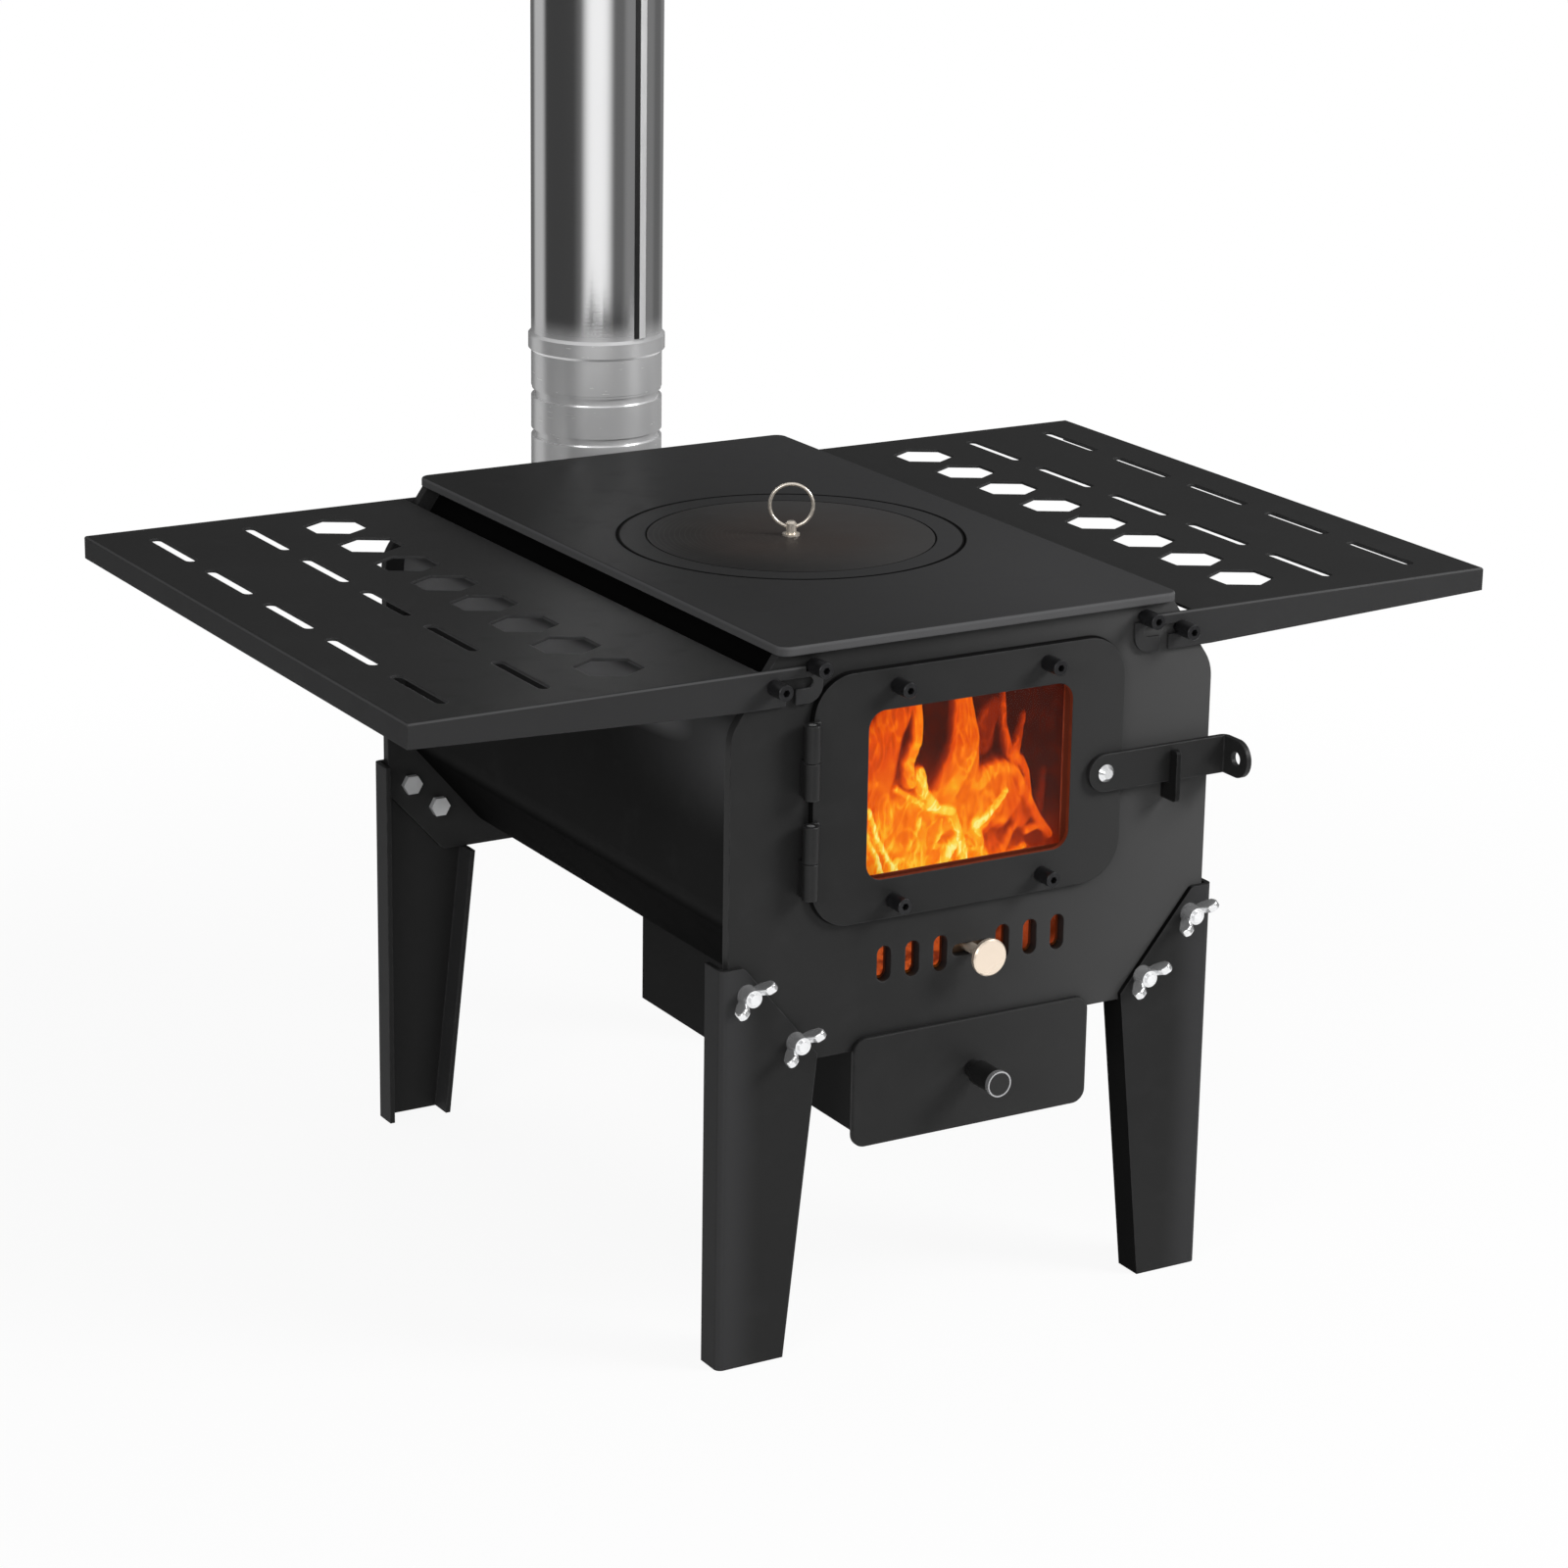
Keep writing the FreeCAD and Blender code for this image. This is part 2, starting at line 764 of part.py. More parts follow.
def make_lid_handle():
    """A small post with a cross eye, and the wire ring that swings in it."""
    profile = [
        (ZERO, ZERO),
        (d.lid_post_flange, ZERO),
        (d.lid_post_flange, d.lid_post_flange_height),
        (d.lid_post_radius, d.lid_post_flange_height),
        (d.lid_post_radius, d.lid_post_height - d.lid_post_dome),
        (d.lid_post_radius - d.lid_post_dome, d.lid_post_height),
        (ZERO, d.lid_post_height),
    ]
    post = place(turned("lid_post_blank", profile), ZERO, d.hob_centre, cooktop_top)
    aside = FreeCAD.Rotation(FreeCAD.Vector(0, 0, 1), LID_RING_TURN)
    along_eye = aside * FreeCAD.Rotation(FreeCAD.Vector(0, 1, 0), 90)
    reach = d.lid_post_flange + d.overrun
    run = (reach * math.cos(math.radians(LID_RING_TURN)), reach * math.sin(math.radians(LID_RING_TURN)))
    eye_up = cooktop_top + d.lid_eye_height
    eye = rod("lid_post_eye", -run[0], d.hob_centre - run[1], eye_up, d.lid_eye_radius, reach * 2, along_eye)
    keep(difference("lid_post", post, eye), "lid_post")
    ring = doc.addObject("Part::Torus", "lid_ring")
    bind(ring, "Radius1", d.lid_ring_radius)
    bind(ring, "Radius2", d.lid_ring_wire)
    keep(place(ring, ZERO, d.hob_centre, eye_up + d.lid_ring_radius, aside * FRONTWARD), "lid_ring")


door_screw_places = [
    (d.door_screw_across / 2 * side - d.door_offset, door_middle + d.door_screw_up / 2 * end)
    for side in (LEFT, RIGHT)
    for end in (-1, 1)
]
window = centred(d.window_width, d.window_height, -d.door_offset, door_middle)
screw_hole = d.door_screw_radius + d.bolt_slack
latch_pivot = door_right - d.latch_inset


def make_door_plate():
    outline = centred(d.door_width, d.door_height, -d.door_offset, door_middle)
    body = new_body("door_plate")
    add_slab(body, "front", door_front, d.door_thickness, outline)
    round_edges(body, d.door_corner, 1, outline)
    start, depth = door_front - d.overrun, d.door_thickness + d.overrun * 2
    cut_slab(body, "front", start, depth, window)
    round_edges(body, d.window_corner, 1, window)
    cut_holes(body, "front", start, depth, door_screw_places, screw_hole)
    cut_holes(body, "front", start, depth, [(latch_pivot, d.latch_height)], d.rivet_radius)
    keep(body, "door_plate")


glass_width = d.window_width + d.glass_lap * 2
glass_height = d.window_height + d.glass_lap * 2
glass_front = door_back + d.gasket_thickness
retainer_front = glass_front + d.glass_thickness
retainer_back = retainer_front + d.retainer_thickness


def centred_box(name, width, height, front, thickness):
    left = -d.door_offset - width / 2
    return box(name, left, front, door_middle - height / 2, width, thickness, height)


def make_glazing():
    """The glass, its flat gasket against the door and the sheet frame that clamps it."""
    keep(centred_box("door_glass", glass_width, glass_height, glass_front, d.glass_thickness), "door_glass")
    band = centred_box("gasket_band", glass_width, glass_height, door_back, d.gasket_thickness)
    inner_width = glass_width - d.gasket_lap * 2
    inner_height = glass_height - d.gasket_lap * 2
    opening_front, opening_depth = door_back - d.overrun, d.gasket_thickness + d.overrun * 2
    opening = centred_box("gasket_opening", inner_width, inner_height, opening_front, opening_depth)
    keep(difference("glass_gasket", band, opening), "glass_gasket")
    outline = centred(d.retainer_width, d.retainer_height, -d.door_offset, door_middle)
    body = new_body("glass_retainer")
    add_slab(body, "front", retainer_front, d.retainer_thickness, outline)
    round_edges(body, d.retainer_corner, 1, outline)
    start, depth = retainer_front - d.overrun, d.retainer_thickness + d.overrun * 2
    cut_slab(body, "front", start, depth, window)
    cut_holes(body, "front", start, depth, door_screw_places, screw_hole)
    keep(body, "glass_retainer")


def socket_screw(name, shank_radius, shank, head_radius, head):
    """A tall cylindrical screw head with a hexagon socket; its seat is at height zero."""
    profile = [
        (ZERO, -shank),
        (shank_radius, -shank),
        (shank_radius, ZERO),
        (head_radius, ZERO),
        (head_radius, head - d.head_chamfer),
        (head_radius - d.head_chamfer, head),
        (ZERO, head),
    ]
    body = turned(name, profile)
    socket = hexagon(ZERO, ZERO, d.socket_flats, 0)
    cut_slab(body, "top", head - d.socket_depth, d.socket_depth + d.overrun, socket)
    return body


def hex_nut(name, flats, height, bore):
    body = new_body(name)
    add_slab(body, "top", ZERO, height, hexagon(ZERO, ZERO, flats, 0))
    cut_holes(body, "top", -d.overrun, height + d.overrun * 2, [(ZERO, ZERO)], bore)
    return body


def make_door_fasteners():
    screws, nuts = [], []
    shank = retainer_back - door_front + d.door_nut_height
    for across, up in door_screw_places:
        head_radius, head = d.door_screw_head_radius, d.door_screw_head
        screw = socket_screw("door_screw", d.door_screw_radius, shank, head_radius, head)
        screws.append(place(screw, across, door_front, up, FRONTWARD))
        nut = hex_nut("door_nut", d.door_nut_flats, d.door_nut_height, d.door_screw_radius)
        nuts.append(place(nut, across, retainer_back, up, REARWARD))
    group("door_screws", screws)
    group("door_screw_nuts", nuts)


hinge_across = door_left - d.knuckle_inset
hinge_along = door_front - d.knuckle_gap - d.knuckle_radius


def knuckle(name, low, foot):
    """Half a hinge barrel with the strip that welds it on, bored for the pin."""
    body = new_body(name)
    add_disc(body, "top", low, d.knuckle_height, hinge_across, hinge_along, d.knuckle_radius)
    add_slab(body, "top", low, d.knuckle_height, foot)
    bore = d.hinge_pin_radius + d.running_slack
    depth = d.knuckle_height + d.overrun * 2
    cut_holes(body, "top", low - d.overrun, depth, [(hinge_across, hinge_along)], bore)
    return body


def make_hinges():
    """Each barrel has a fixed lower half on the plate and an upper half on the door."""
    half_foot = d.knuckle_foot / 2
    fixed_foot = rectangle(hinge_across - half_foot, hinge_across + half_foot, hinge_along, ZERO)
    leaf_edge = door_left + d.knuckle_leaf
    door_foot = rectangle(hinge_across, leaf_edge, door_front - d.knuckle_tab, door_front)
    fixed, moving, pins = [], [], []
    for low in (d.lower_hinge_bottom, d.upper_hinge_bottom):
        upper_low = low + d.knuckle_height + d.knuckle_gap
        fixed.append(knuckle("fixed_knuckle", low, fixed_foot))
        moving.append(knuckle("door_knuckle", upper_low, door_foot))
        length = d.knuckle_height * 2 + d.knuckle_gap
        pins.append(rod("hinge_pin", hinge_across, hinge_along, low, d.hinge_pin_radius, length))
    group("hinge_knuckles_fixed", fixed)
    group("hinge_knuckles_door", moving)
    group("hinge_pins", pins)


latch_back = door_front - d.latch_gap
latch_front = latch_back - d.latch_thickness
latch_low = d.latch_height - d.latch_bar_height / 2
latch_high = latch_low + d.latch_bar_height
latch_end = latch_pivot + d.latch_reach
latch_round = d.latch_bar_height / 2 - d.running_slack


def make_latch():
    """A flat bar riveted to the door, its tip bent outward and pierced to be lifted by a poker."""
    left = latch_pivot - d.latch_bar_height / 2
    body = new_body("latch_bar")
    add_slab(body, "front", latch_front, d.latch_thickness, rectangle(left, latch_end, latch_low, latch_high))
    tip_end = latch_back - d.latch_tip
    tip = rectangle(tip_end, latch_back, latch_low, latch_high)
    tip_start = latch_end - d.latch_thickness
    add_slab(body, "side", tip_start, d.latch_thickness, tip)
    round_edges(body, latch_round, 1, [(left, latch_low), (left, latch_high)])
    round_edges(body, latch_round, 0, [(tip_end, latch_low), (tip_end, latch_high)])
    round_edges(body, d.latch_bend, 2, [(latch_end, latch_back)])
    bore = d.rivet_radius + d.running_slack
    start = latch_front - d.overrun
    depth = d.latch_thickness + d.overrun * 2
    cut_holes(body, "front", start, depth, [(latch_pivot, d.latch_height)], bore)
    hole = [(tip_end + d.latch_bar_height / 2, d.latch_height)]
    cut_holes(body, "side", tip_start - d.overrun, depth, hole, d.latch_tip_hole)
    keep(body, "latch_bar")


def make_latch_rivet():
    """A domed rivet: head over the bar, shank through bar and door, upset tail inside."""
    head_seat = d.latch_gap + d.latch_thickness + d.seat_gap
    tail = -d.door_thickness - d.rivet_tail_height
    dome_share = 0.55
    profile = [
        (ZERO, tail),
        (d.rivet_tail_radius, tail),
        (d.rivet_tail_radius, -d.door_thickness),
        (d.rivet_radius, -d.door_thickness),
        (d.rivet_radius, head_seat),
        (d.rivet_head_radius, head_seat),
        (d.rivet_head_radius * dome_share, head_seat + d.rivet_head_height),
        (ZERO, head_seat + d.rivet_head_height),
    ]
    body = turned("latch_rivet", profile)
    keep(place(body, latch_pivot, door_front, d.latch_height, FRONTWARD), "latch_rivet")


def make_latch_catch():
    """A hook of plate on edge: a foot out of the front plate and an upright before the bar."""
    foot_top = latch_low - d.latch_gap
    foot_low = foot_top - d.catch_foot
    upright_back = latch_front - d.latch_gap
    reach = -d.catch_reach
    top = latch_high - d.catch_round
    corners = [
        (ZERO, foot_low),
        (ZERO, foot_top),
        (upright_back, foot_top),
        (upright_back, top),
        (reach, top),
        (reach, foot_low),
    ]
    body = new_body("latch_catch")
    add_slab(body, "side", latch_pivot + d.catch_from_pivot, d.catch_thickness, corners)
    round_edges(body, d.catch_round, 0, corners[3:])
    keep(body, "latch_catch")


slide_front = d.plate_thickness + d.seat_gap
slide_back = slide_front + d.air_slide_thickness
slide_low = d.vent_centre - d.air_slide_height / 2
slide_high = slide_low + d.air_slide_height
vents_reach = d.vent_first + d.vent_pitch * (VENTS_EACH_SIDE - 1) + d.vent_width / 2
slide_reach = vents_reach + d.air_travel + d.air_slide_margin


def make_air_slide():
    """A pierced strip behind the vents: in line they are open, a half pitch aside they are shut."""
    body = new_body("air_slide_plate")
    outline = rectangle(-slide_reach, slide_reach, slide_low, slide_high)
    add_slab(body, "front", slide_front, d.air_slide_thickness, outline)
    sketch = sketch_on(body, "front", slide_front - d.overrun)
    for across, up in vent_places():
        draw_slot(sketch, across, up, d.vent_width, d.vent_height)
    draw_circle(sketch, ZERO, d.vent_centre, d.air_stem_radius)
    cut_sketch(body, "front", sketch, d.air_slide_thickness + d.overrun * 2)
    keep(body, "air_slide_plate")


def make_air_guides():
    """Two stepped strips on the plate's back that the slide runs between."""
    guides = []
    spacer = d.air_slide_thickness + d.seat_gap * 2
    reach = slide_reach + d.air_travel
    for end in (-1, 1):
        edge = slide_high + d.seat_gap if end > 0 else slide_low - d.seat_gap
        far = edge + d.air_guide_height * end
        near = edge - d.air_guide_lap * end
        step = d.plate_thickness + spacer
        lip = step + d.air_guide_lip
        foot = d.plate_thickness
        corners = [(foot, edge), (step, edge), (step, near), (lip, near), (lip, far), (foot, far)]
        body = new_body("air_guide")
        add_slab(body, "side", -reach, reach * 2, corners)
        guides.append(body)
    group("air_slide_guides", guides)


def make_air_knob():
    """A plain disc on a stem that stands out through the slot, fixed in the slide."""
    root = -slide_back
    stem_end = d.air_stem_length
    end = stem_end + d.air_knob_thickness
    profile = [
        (ZERO, root),
        (d.air_stem_radius, root),
        (d.air_stem_radius, stem_end),
        (d.air_knob_radius, stem_end),
        (d.air_knob_radius, end - d.air_knob_round),
        (d.air_knob_radius - d.air_knob_round, end),
        (ZERO, end),
    ]
    keep(place(turned("air_knob", profile), ZERO, ZERO, d.vent_centre, FRONTWARD), "air_knob")


ash_side = d.ash_box_width / 2
ash_floor = d.ash_box_bottom + d.ash_box_wall
tray_side = ash_side - d.ash_box_wall - d.tray_side_gap
tray_bottom = ash_floor + d.tray_floor_gap
tray_back = d.ash_box_depth - d.ash_box_wall - d.tray_back_gap
drawer_back = -d.drawer_front_gap
drawer_face = drawer_back - d.drawer_front_thickness


def make_ash_box():
    """A sheet box under the firebox floor, open to the fire above and to the drawer in front."""
    height = shell_bottom - d.ash_box_bottom
    outer = box("ash_box_outer", -ash_side, ZERO, d.ash_box_bottom, d.ash_box_width, d.ash_box_depth, height)
    inner_width = d.ash_box_width - d.ash_box_wall * 2
    inner_depth = d.ash_box_depth - d.ash_box_wall + d.overrun
    inner = box(
        "ash_box_room", -inner_width / 2, -d.overrun, ash_floor, inner_width, inner_depth, height + d.overrun
    )
    notch = box(
        "ash_box_notch",
        -half_plate,
        -d.overrun,
        d.plate_bottom - d.seat_gap,
        d.plate_width,
        d.plate_thickness + d.overrun,
        d.shell_rise + d.overrun + d.seat_gap,
    )
    keep(difference("ash_box", outer, union("ash_box_cuts", [inner, notch])), "ash_box")


def make_ash_tray():
    depth = tray_back - drawer_back
    wall = d.tray_wall
    outer = box("tray_outer", -tray_side, drawer_back, tray_bottom, tray_side * 2, depth, d.tray_height)
    room = box(
        "tray_room",
        -tray_side + wall,
        drawer_back + wall,
        tray_bottom + wall,
        tray_side * 2 - wall * 2,
        depth - wall * 2,
        d.tray_height,
    )
    bore = d.knob_screw_radius + d.bolt_slack
    start, run = drawer_back + wall + d.overrun, wall + d.overrun * 2
    hole = rod("tray_screw_hole", ZERO, start, d.drawer_knob_height, bore, run, FRONTWARD)
    keep(difference("ash_tray", outer, union("tray_cuts", [room, hole])), "ash_tray")


def make_drawer_front():
    half = d.drawer_front_width / 2
    outline = rectangle(-half, half, d.drawer_front_bottom, d.drawer_front_bottom + d.drawer_front_height)
    body = new_body("drawer_front")
    add_slab(body, "front", drawer_face, d.drawer_front_thickness, outline)
    round_edges(body, d.drawer_front_corner, 1, outline)
    face = drawer_face.value
    rim = d.drawer_front_edge
    add_fillet(body, rim, lambda edge: all(abs(v.Point.y - face) < NEAR for v in edge.Vertexes))
    hole = [(ZERO, d.drawer_knob_height)]
    start, depth = drawer_face - d.overrun, d.drawer_front_thickness + d.overrun * 2
    cut_holes(body, "front", start, depth, hole, d.knob_screw_radius + d.bolt_slack)
    keep(body, "drawer_front")


def make_drawer_knob():
    """A straight grip on a neck, tapped for its screw, with a bright ferrule round its end."""
    grip_end = d.drawer_knob_length - d.ferrule_length
    spigot = d.drawer_knob_radius - d.ferrule_step
    profile = [
        (d.knob_screw_radius, ZERO),
        (d.drawer_knob_neck_radius, ZERO),
        (d.drawer_knob_neck_radius, d.drawer_knob_neck),
        (d.drawer_knob_radius - d.drawer_knob_round, d.drawer_knob_neck),
        (d.drawer_knob_radius, d.drawer_knob_neck + d.drawer_knob_round),
        (d.drawer_knob_radius, grip_end),
        (spigot, grip_end),
        (spigot, d.drawer_knob_length),
        (ZERO, d.drawer_knob_length),
        (ZERO, d.knob_screw_bite),
        (d.knob_screw_radius, d.knob_screw_bite),
    ]
    knob = turned("drawer_knob", profile)
    keep(place(knob, ZERO, drawer_face, d.drawer_knob_height, FRONTWARD), "drawer_knob")
    rim = [
        (spigot, grip_end),
        (d.ferrule_radius, grip_end),
        (d.ferrule_radius, d.drawer_knob_length),
        (spigot, d.drawer_knob_length),
    ]
    ferrule = turned("drawer_knob_ferrule", rim)
    keep(place(ferrule, ZERO, drawer_face, d.drawer_knob_height, FRONTWARD), "drawer_knob_ferrule")
    seat = -d.drawer_front_thickness - d.tray_wall
    screw_profile = [
        (ZERO, seat - d.knob_screw_head),
        (d.knob_screw_head_radius, seat - d.knob_screw_head),
        (d.knob_screw_head_radius, seat),
        (d.knob_screw_radius, seat),
        (d.knob_screw_radius, d.knob_screw_bite),
        (ZERO, d.knob_screw_bite),
    ]
    screw = turned("drawer_knob_screw", screw_profile)
    keep(place(screw, ZERO, drawer_face, d.drawer_knob_height, FRONTWARD), "drawer_knob_screw")


def make_grate():
    """A cast slab with cross slots that lies over the ash hole."""
    half = d.grate_width / 2
    middle = d.ash_hole_start + d.ash_hole_depth / 2
    front = middle - d.grate_depth / 2
    body = new_body("fire_grate")
    outline = rectangle(-half, half, front, front + d.grate_depth)
    add_slab(body, "top", shell_floor, d.grate_thickness, outline)
    span = d.grate_slot_pitch * (GRATE_SLOTS - 1)
    sketch = sketch_on(body, "top", shell_floor - d.overrun)
    draw_slot(sketch, ZERO, middle - span / 2, d.grate_slot_width, d.grate_slot_length, lying=True)
    cut = cut_sketch(body, "top", sketch, d.grate_thickness + d.overrun * 2)
    repeat(body, cut, "V_Axis", span, GRATE_SLOTS)
    keep(body, "fire_grate")


def make_leg(label, side, front):
    """A tapered channel leg: its web lies outside an end plate, its flanges turn inward."""
    web_start = -d.leg_sheet if front else d.body_depth
    flange_start = ZERO if front else d.body_depth - d.leg_flange
    web_face = web_start if front else d.body_depth + d.leg_sheet
    web = [
        (d.leg_foot_inner * side, ZERO),
        (d.leg_outer * side, ZERO),
        (d.leg_outer * side, d.leg_top),
        ((d.leg_outer - d.leg_top_width) * side, d.leg_top),
        (d.leg_waist_inner * side, d.leg_waist),
    ]
    body = new_body(label)
    add_slab(body, "front", web_start, d.leg_sheet, web)
    outer_flange = rectangle(d.leg_outer * side, (d.leg_outer - d.leg_sheet) * side, ZERO, d.leg_top)
    add_slab(body, "front", flange_start, d.leg_flange, outer_flange)
    flange_top = d.plate_bottom - d.overrun
    top_share = flange_top.value / d.leg_waist.value
    lean = (d.leg_foot_inner - d.leg_waist_inner) * top_share
    top_inner = d.leg_foot_inner - lean
    inner_flange = [
        (d.leg_foot_inner * side, ZERO),
        ((d.leg_foot_inner + d.leg_sheet) * side, ZERO),
        ((top_inner + d.leg_sheet) * side, flange_top),
        (top_inner * side, flange_top),
    ]
    add_slab(body, "front", flange_start, d.leg_flange, inner_flange)
    round_edges(body, d.leg_bend, 2, [(d.leg_outer * side, web_face)])
    round_edges(body, d.leg_corner, 1, web[3:4])
    places = front_bolt_places if front else rear_bolt_places
    holes = [spot for spot in places if spot[0].value * side > 0]
    cut_holes(body, "front", web_start - d.overrun, d.leg_sheet + d.overrun * 2, holes, bolt_hole)
    keep(body, label)


def make_legs():
    for end, front in (("front", True), ("rear", False)):
        for name, side in (("left", LEFT), ("right", RIGHT)):
            make_leg(f"leg_{end}_{name}", side, front)


def leg_bolt():
    """A hexagon bolt whose head lies on the plate's inside; the head's seat is at height zero."""
    body = new_body("leg_bolt")
    grip = d.plate_thickness + d.leg_sheet + d.wing_hub_height + d.bolt_end
    add_slab(body, "top", -d.bolt_head_height, d.bolt_head_height, hexagon(ZERO, ZERO, d.bolt_head_flats, 0))
    add_disc(body, "top", ZERO, grip, ZERO, ZERO, d.bolt_radius)
    return body


def wing_nut():
    """A tapered hub with two ears that lean outward."""
    profile = [
        (d.bolt_radius, ZERO),
        (d.wing_hub_radius, ZERO),
        (d.wing_hub_top_radius, d.wing_hub_height),
        (d.bolt_radius, d.wing_hub_height),
    ]
    body = turned("wing_nut", profile)
    reach, rise = d.wing_reach, d.wing_rise
    root_share = 0.85
    foot_share = 0.1
    ear_shares = [(0.62, 0.22), (0.95, 0.55), (1, 0.85), (0.8, 1), (0.52, 0.9)]
    root = d.wing_hub_top_radius * root_share
    ear = [(root, d.wing_hub_height * foot_share)]
    ear += [(reach * out_share, rise * up_share) for out_share, up_share in ear_shares]
    ear.append((root, d.wing_hub_height * root_share))
    half = d.wing_thickness / 2
    for side in (LEFT, RIGHT):
        outline = [(across * side, up) for across, up in ear]
        add_slab(body, "front", -half, d.wing_thickness, outline)
        round_edges(body, d.wing_round, 1, outline[1:-1])
    hub = d.wing_hub_radius.value
    faces = (-half.value, half.value)

    def on_ear(edge):
        points = [vertex.Point for vertex in edge.Vertexes]
        outside = all(abs(point.x) > hub + NEAR for point in points)
        return outside and any(all(abs(point.y - face) < NEAR for point in points) for face in faces)

    add_fillet(body, d.wing_edge, on_ear)
    return body


def make_leg_fasteners():
    spin = FreeCAD.Rotation(FreeCAD.Vector(0, 0, 1), WING_TURN)
    ends = (
        ("front", front_bolt_places, FRONTWARD, d.plate_thickness, -d.leg_sheet),
        ("rear", rear_bolt_places, REARWARD, back_face, d.body_depth + d.leg_sheet),
    )
    for end, places, outward, head_seat, nut_seat in ends:
        bolts = [place(leg_bolt(), across, head_seat, up, outward) for across, up in places]
        nuts = [place(wing_nut(), across, nut_seat, up, outward * spin) for across, up in places]
        group(f"leg_bolts_{end}", bolts)
        group(f"wing_nuts_{end}", nuts)


shelf_front = -d.shelf_gap - d.shelf_sheet
shelf_back = d.body_depth + d.shelf_gap + d.shelf_sheet
hook_low = d.shelf_top - d.shelf_lip_inner
stud_room = d.stud_radius + d.stud_slack
hook_step_up = d.inner_stud_up - stud_room


def flange_outline(side, lip):
    """A shelf's end flange: a lip, and from it a hook slotted to hang on the studs."""
    channel_low, channel_high = d.outer_stud_up - stud_room, d.outer_stud_up + stud_room
    channel_outer = d.outer_stud_across + stud_room
    mouth_outer, mouth_inner = d.hook_mouth + stud_room, d.hook_mouth - stud_room
    corners = [
        (d.shelf_outer, d.shelf_top),
        *lip,
        (mouth_outer, hook_low),
        (mouth_outer, channel_low),
        (channel_outer, channel_low),
        (channel_outer, channel_high),
        (d.hook_channel_inner, channel_high),
        (d.hook_channel_inner, channel_low),
        (mouth_inner, channel_low),
        (mouth_inner, hook_low),
        (d.hook_end, hook_low),
        (d.hook_end, hook_step_up),
        (d.hook_step, hook_step_up),
        (d.hook_step, d.shelf_top),
    ]
    return [(across * side, up) for across, up in corners]


def make_shelf(label, side):
    """A folded sheet shelf with rows of hexagons and slots, hung on the plates' studs."""
    body = new_body(label)
    outer, inner = d.shelf_outer * side, d.shelf_inner * side
    under = d.shelf_top - d.shelf_sheet
    add_slab(body, "top", under, d.shelf_sheet, rectangle(inner, outer, shelf_front, shelf_back))
    lip_inner = (d.shelf_outer - d.shelf_sheet) * side
    lip_low = d.shelf_top - d.shelf_lip
    add_slab(body, "top", lip_low, d.shelf_lip, rectangle(lip_inner, outer, shelf_front, shelf_back))
    hook_outer = d.outer_stud_across + d.shelf_hook_run
    rear_low = d.shelf_top - d.shelf_rear_lip
    front_lip = [(d.shelf_outer, lip_low), (hook_outer, hook_low)]
    rear_lip = [(d.shelf_outer, rear_low), (hook_outer + d.shelf_rear_rise, rear_low), (hook_outer, hook_low)]
    front_flange, rear_flange = flange_outline(side, front_lip), flange_outline(side, rear_lip)
    add_slab(body, "front", shelf_front, d.shelf_sheet, front_flange)
    add_slab(body, "front", shelf_back - d.shelf_sheet, d.shelf_sheet, rear_flange)
    slot_round_share = 0.9
    round_edges(body, stud_room * slot_round_share, 1, front_flange[5:9])
    round_edges(body, d.hook_round, 1, [front_flange[11]])
    rim = (outer.value, shelf_front.value, shelf_back.value)

    def on_rim(edge):
        points = [vertex.Point for vertex in edge.Vertexes]
        if any(abs(point.z - d.shelf_top.value) > NEAR for point in points):
            return False
        at_outer = all(abs(point.x - rim[0]) < NEAR for point in points)
        return at_outer or any(all(abs(point.y - end) < NEAR for point in points) for end in rim[1:])

    add_fillet(body, d.shelf_edge, on_rim)
    cut_start, cut_depth = under - d.overrun, d.shelf_sheet + d.overrun * 2
    middle = d.body_depth / 2
    span = d.hexagon_pitch * (SHELF_HEXAGONS - 1)
    hexagon_row_share = 0.319
    slot_row_shares = (0.552, 0.839)
    width = d.shelf_outer - d.shelf_inner
    row = (d.shelf_inner + width * hexagon_row_share) * side
    cell = hexagon(row, middle - span / 2, d.hexagon_flats, FLATS_ASIDE_SHARE)
    repeat(body, cut_slab(body, "top", cut_start, cut_depth, cell), "V_Axis", span, SHELF_HEXAGONS)
    span = d.slot_pitch * (SHELF_SLOTS - 1)
    sketch = sketch_on(body, "top", cut_start)
    for row_share in slot_row_shares:
        row = (d.shelf_inner + width * row_share) * side
        draw_slot(sketch, row, middle - span / 2, d.slot_width, d.slot_length)
    repeat(body, cut_sketch(body, "top", sketch, cut_depth), "V_Axis", span, SHELF_SLOTS)
    keep(body, label)


def make_shelf_studs():
    """Tall socket-head screws in the plates, standing clear of the shelf's flange."""
    seat = d.shelf_gap + d.shelf_sheet + d.stud_stand
    shank = seat + d.plate_thickness
    ends = (("front", -seat, FRONTWARD), ("rear", d.body_depth + seat, REARWARD))
    for end, along, outward in ends:
        studs = []
        for across, up in stud_places:
            stud = socket_screw("shelf_stud", d.stud_radius, shank, d.stud_head_radius, d.stud_head)
            studs.append(place(stud, across, along, up, outward))
        group(f"shelf_studs_{end}", studs)


flue_along = d.body_depth + d.flue_behind
flue_bore = d.flue_radius - d.flue_wall
neck_radius = flue_bore - d.flue_slack
neck_bore = neck_radius - d.neck_wall
tee_shoulder = d.flue_height + d.tee_rise
tee_stop = tee_shoulder + d.tee_groove_height
tee_seat = tee_stop + d.tee_stop_height
pipe_rim = tee_seat + d.seat_gap
tee_foot = d.flue_height - d.tee_down


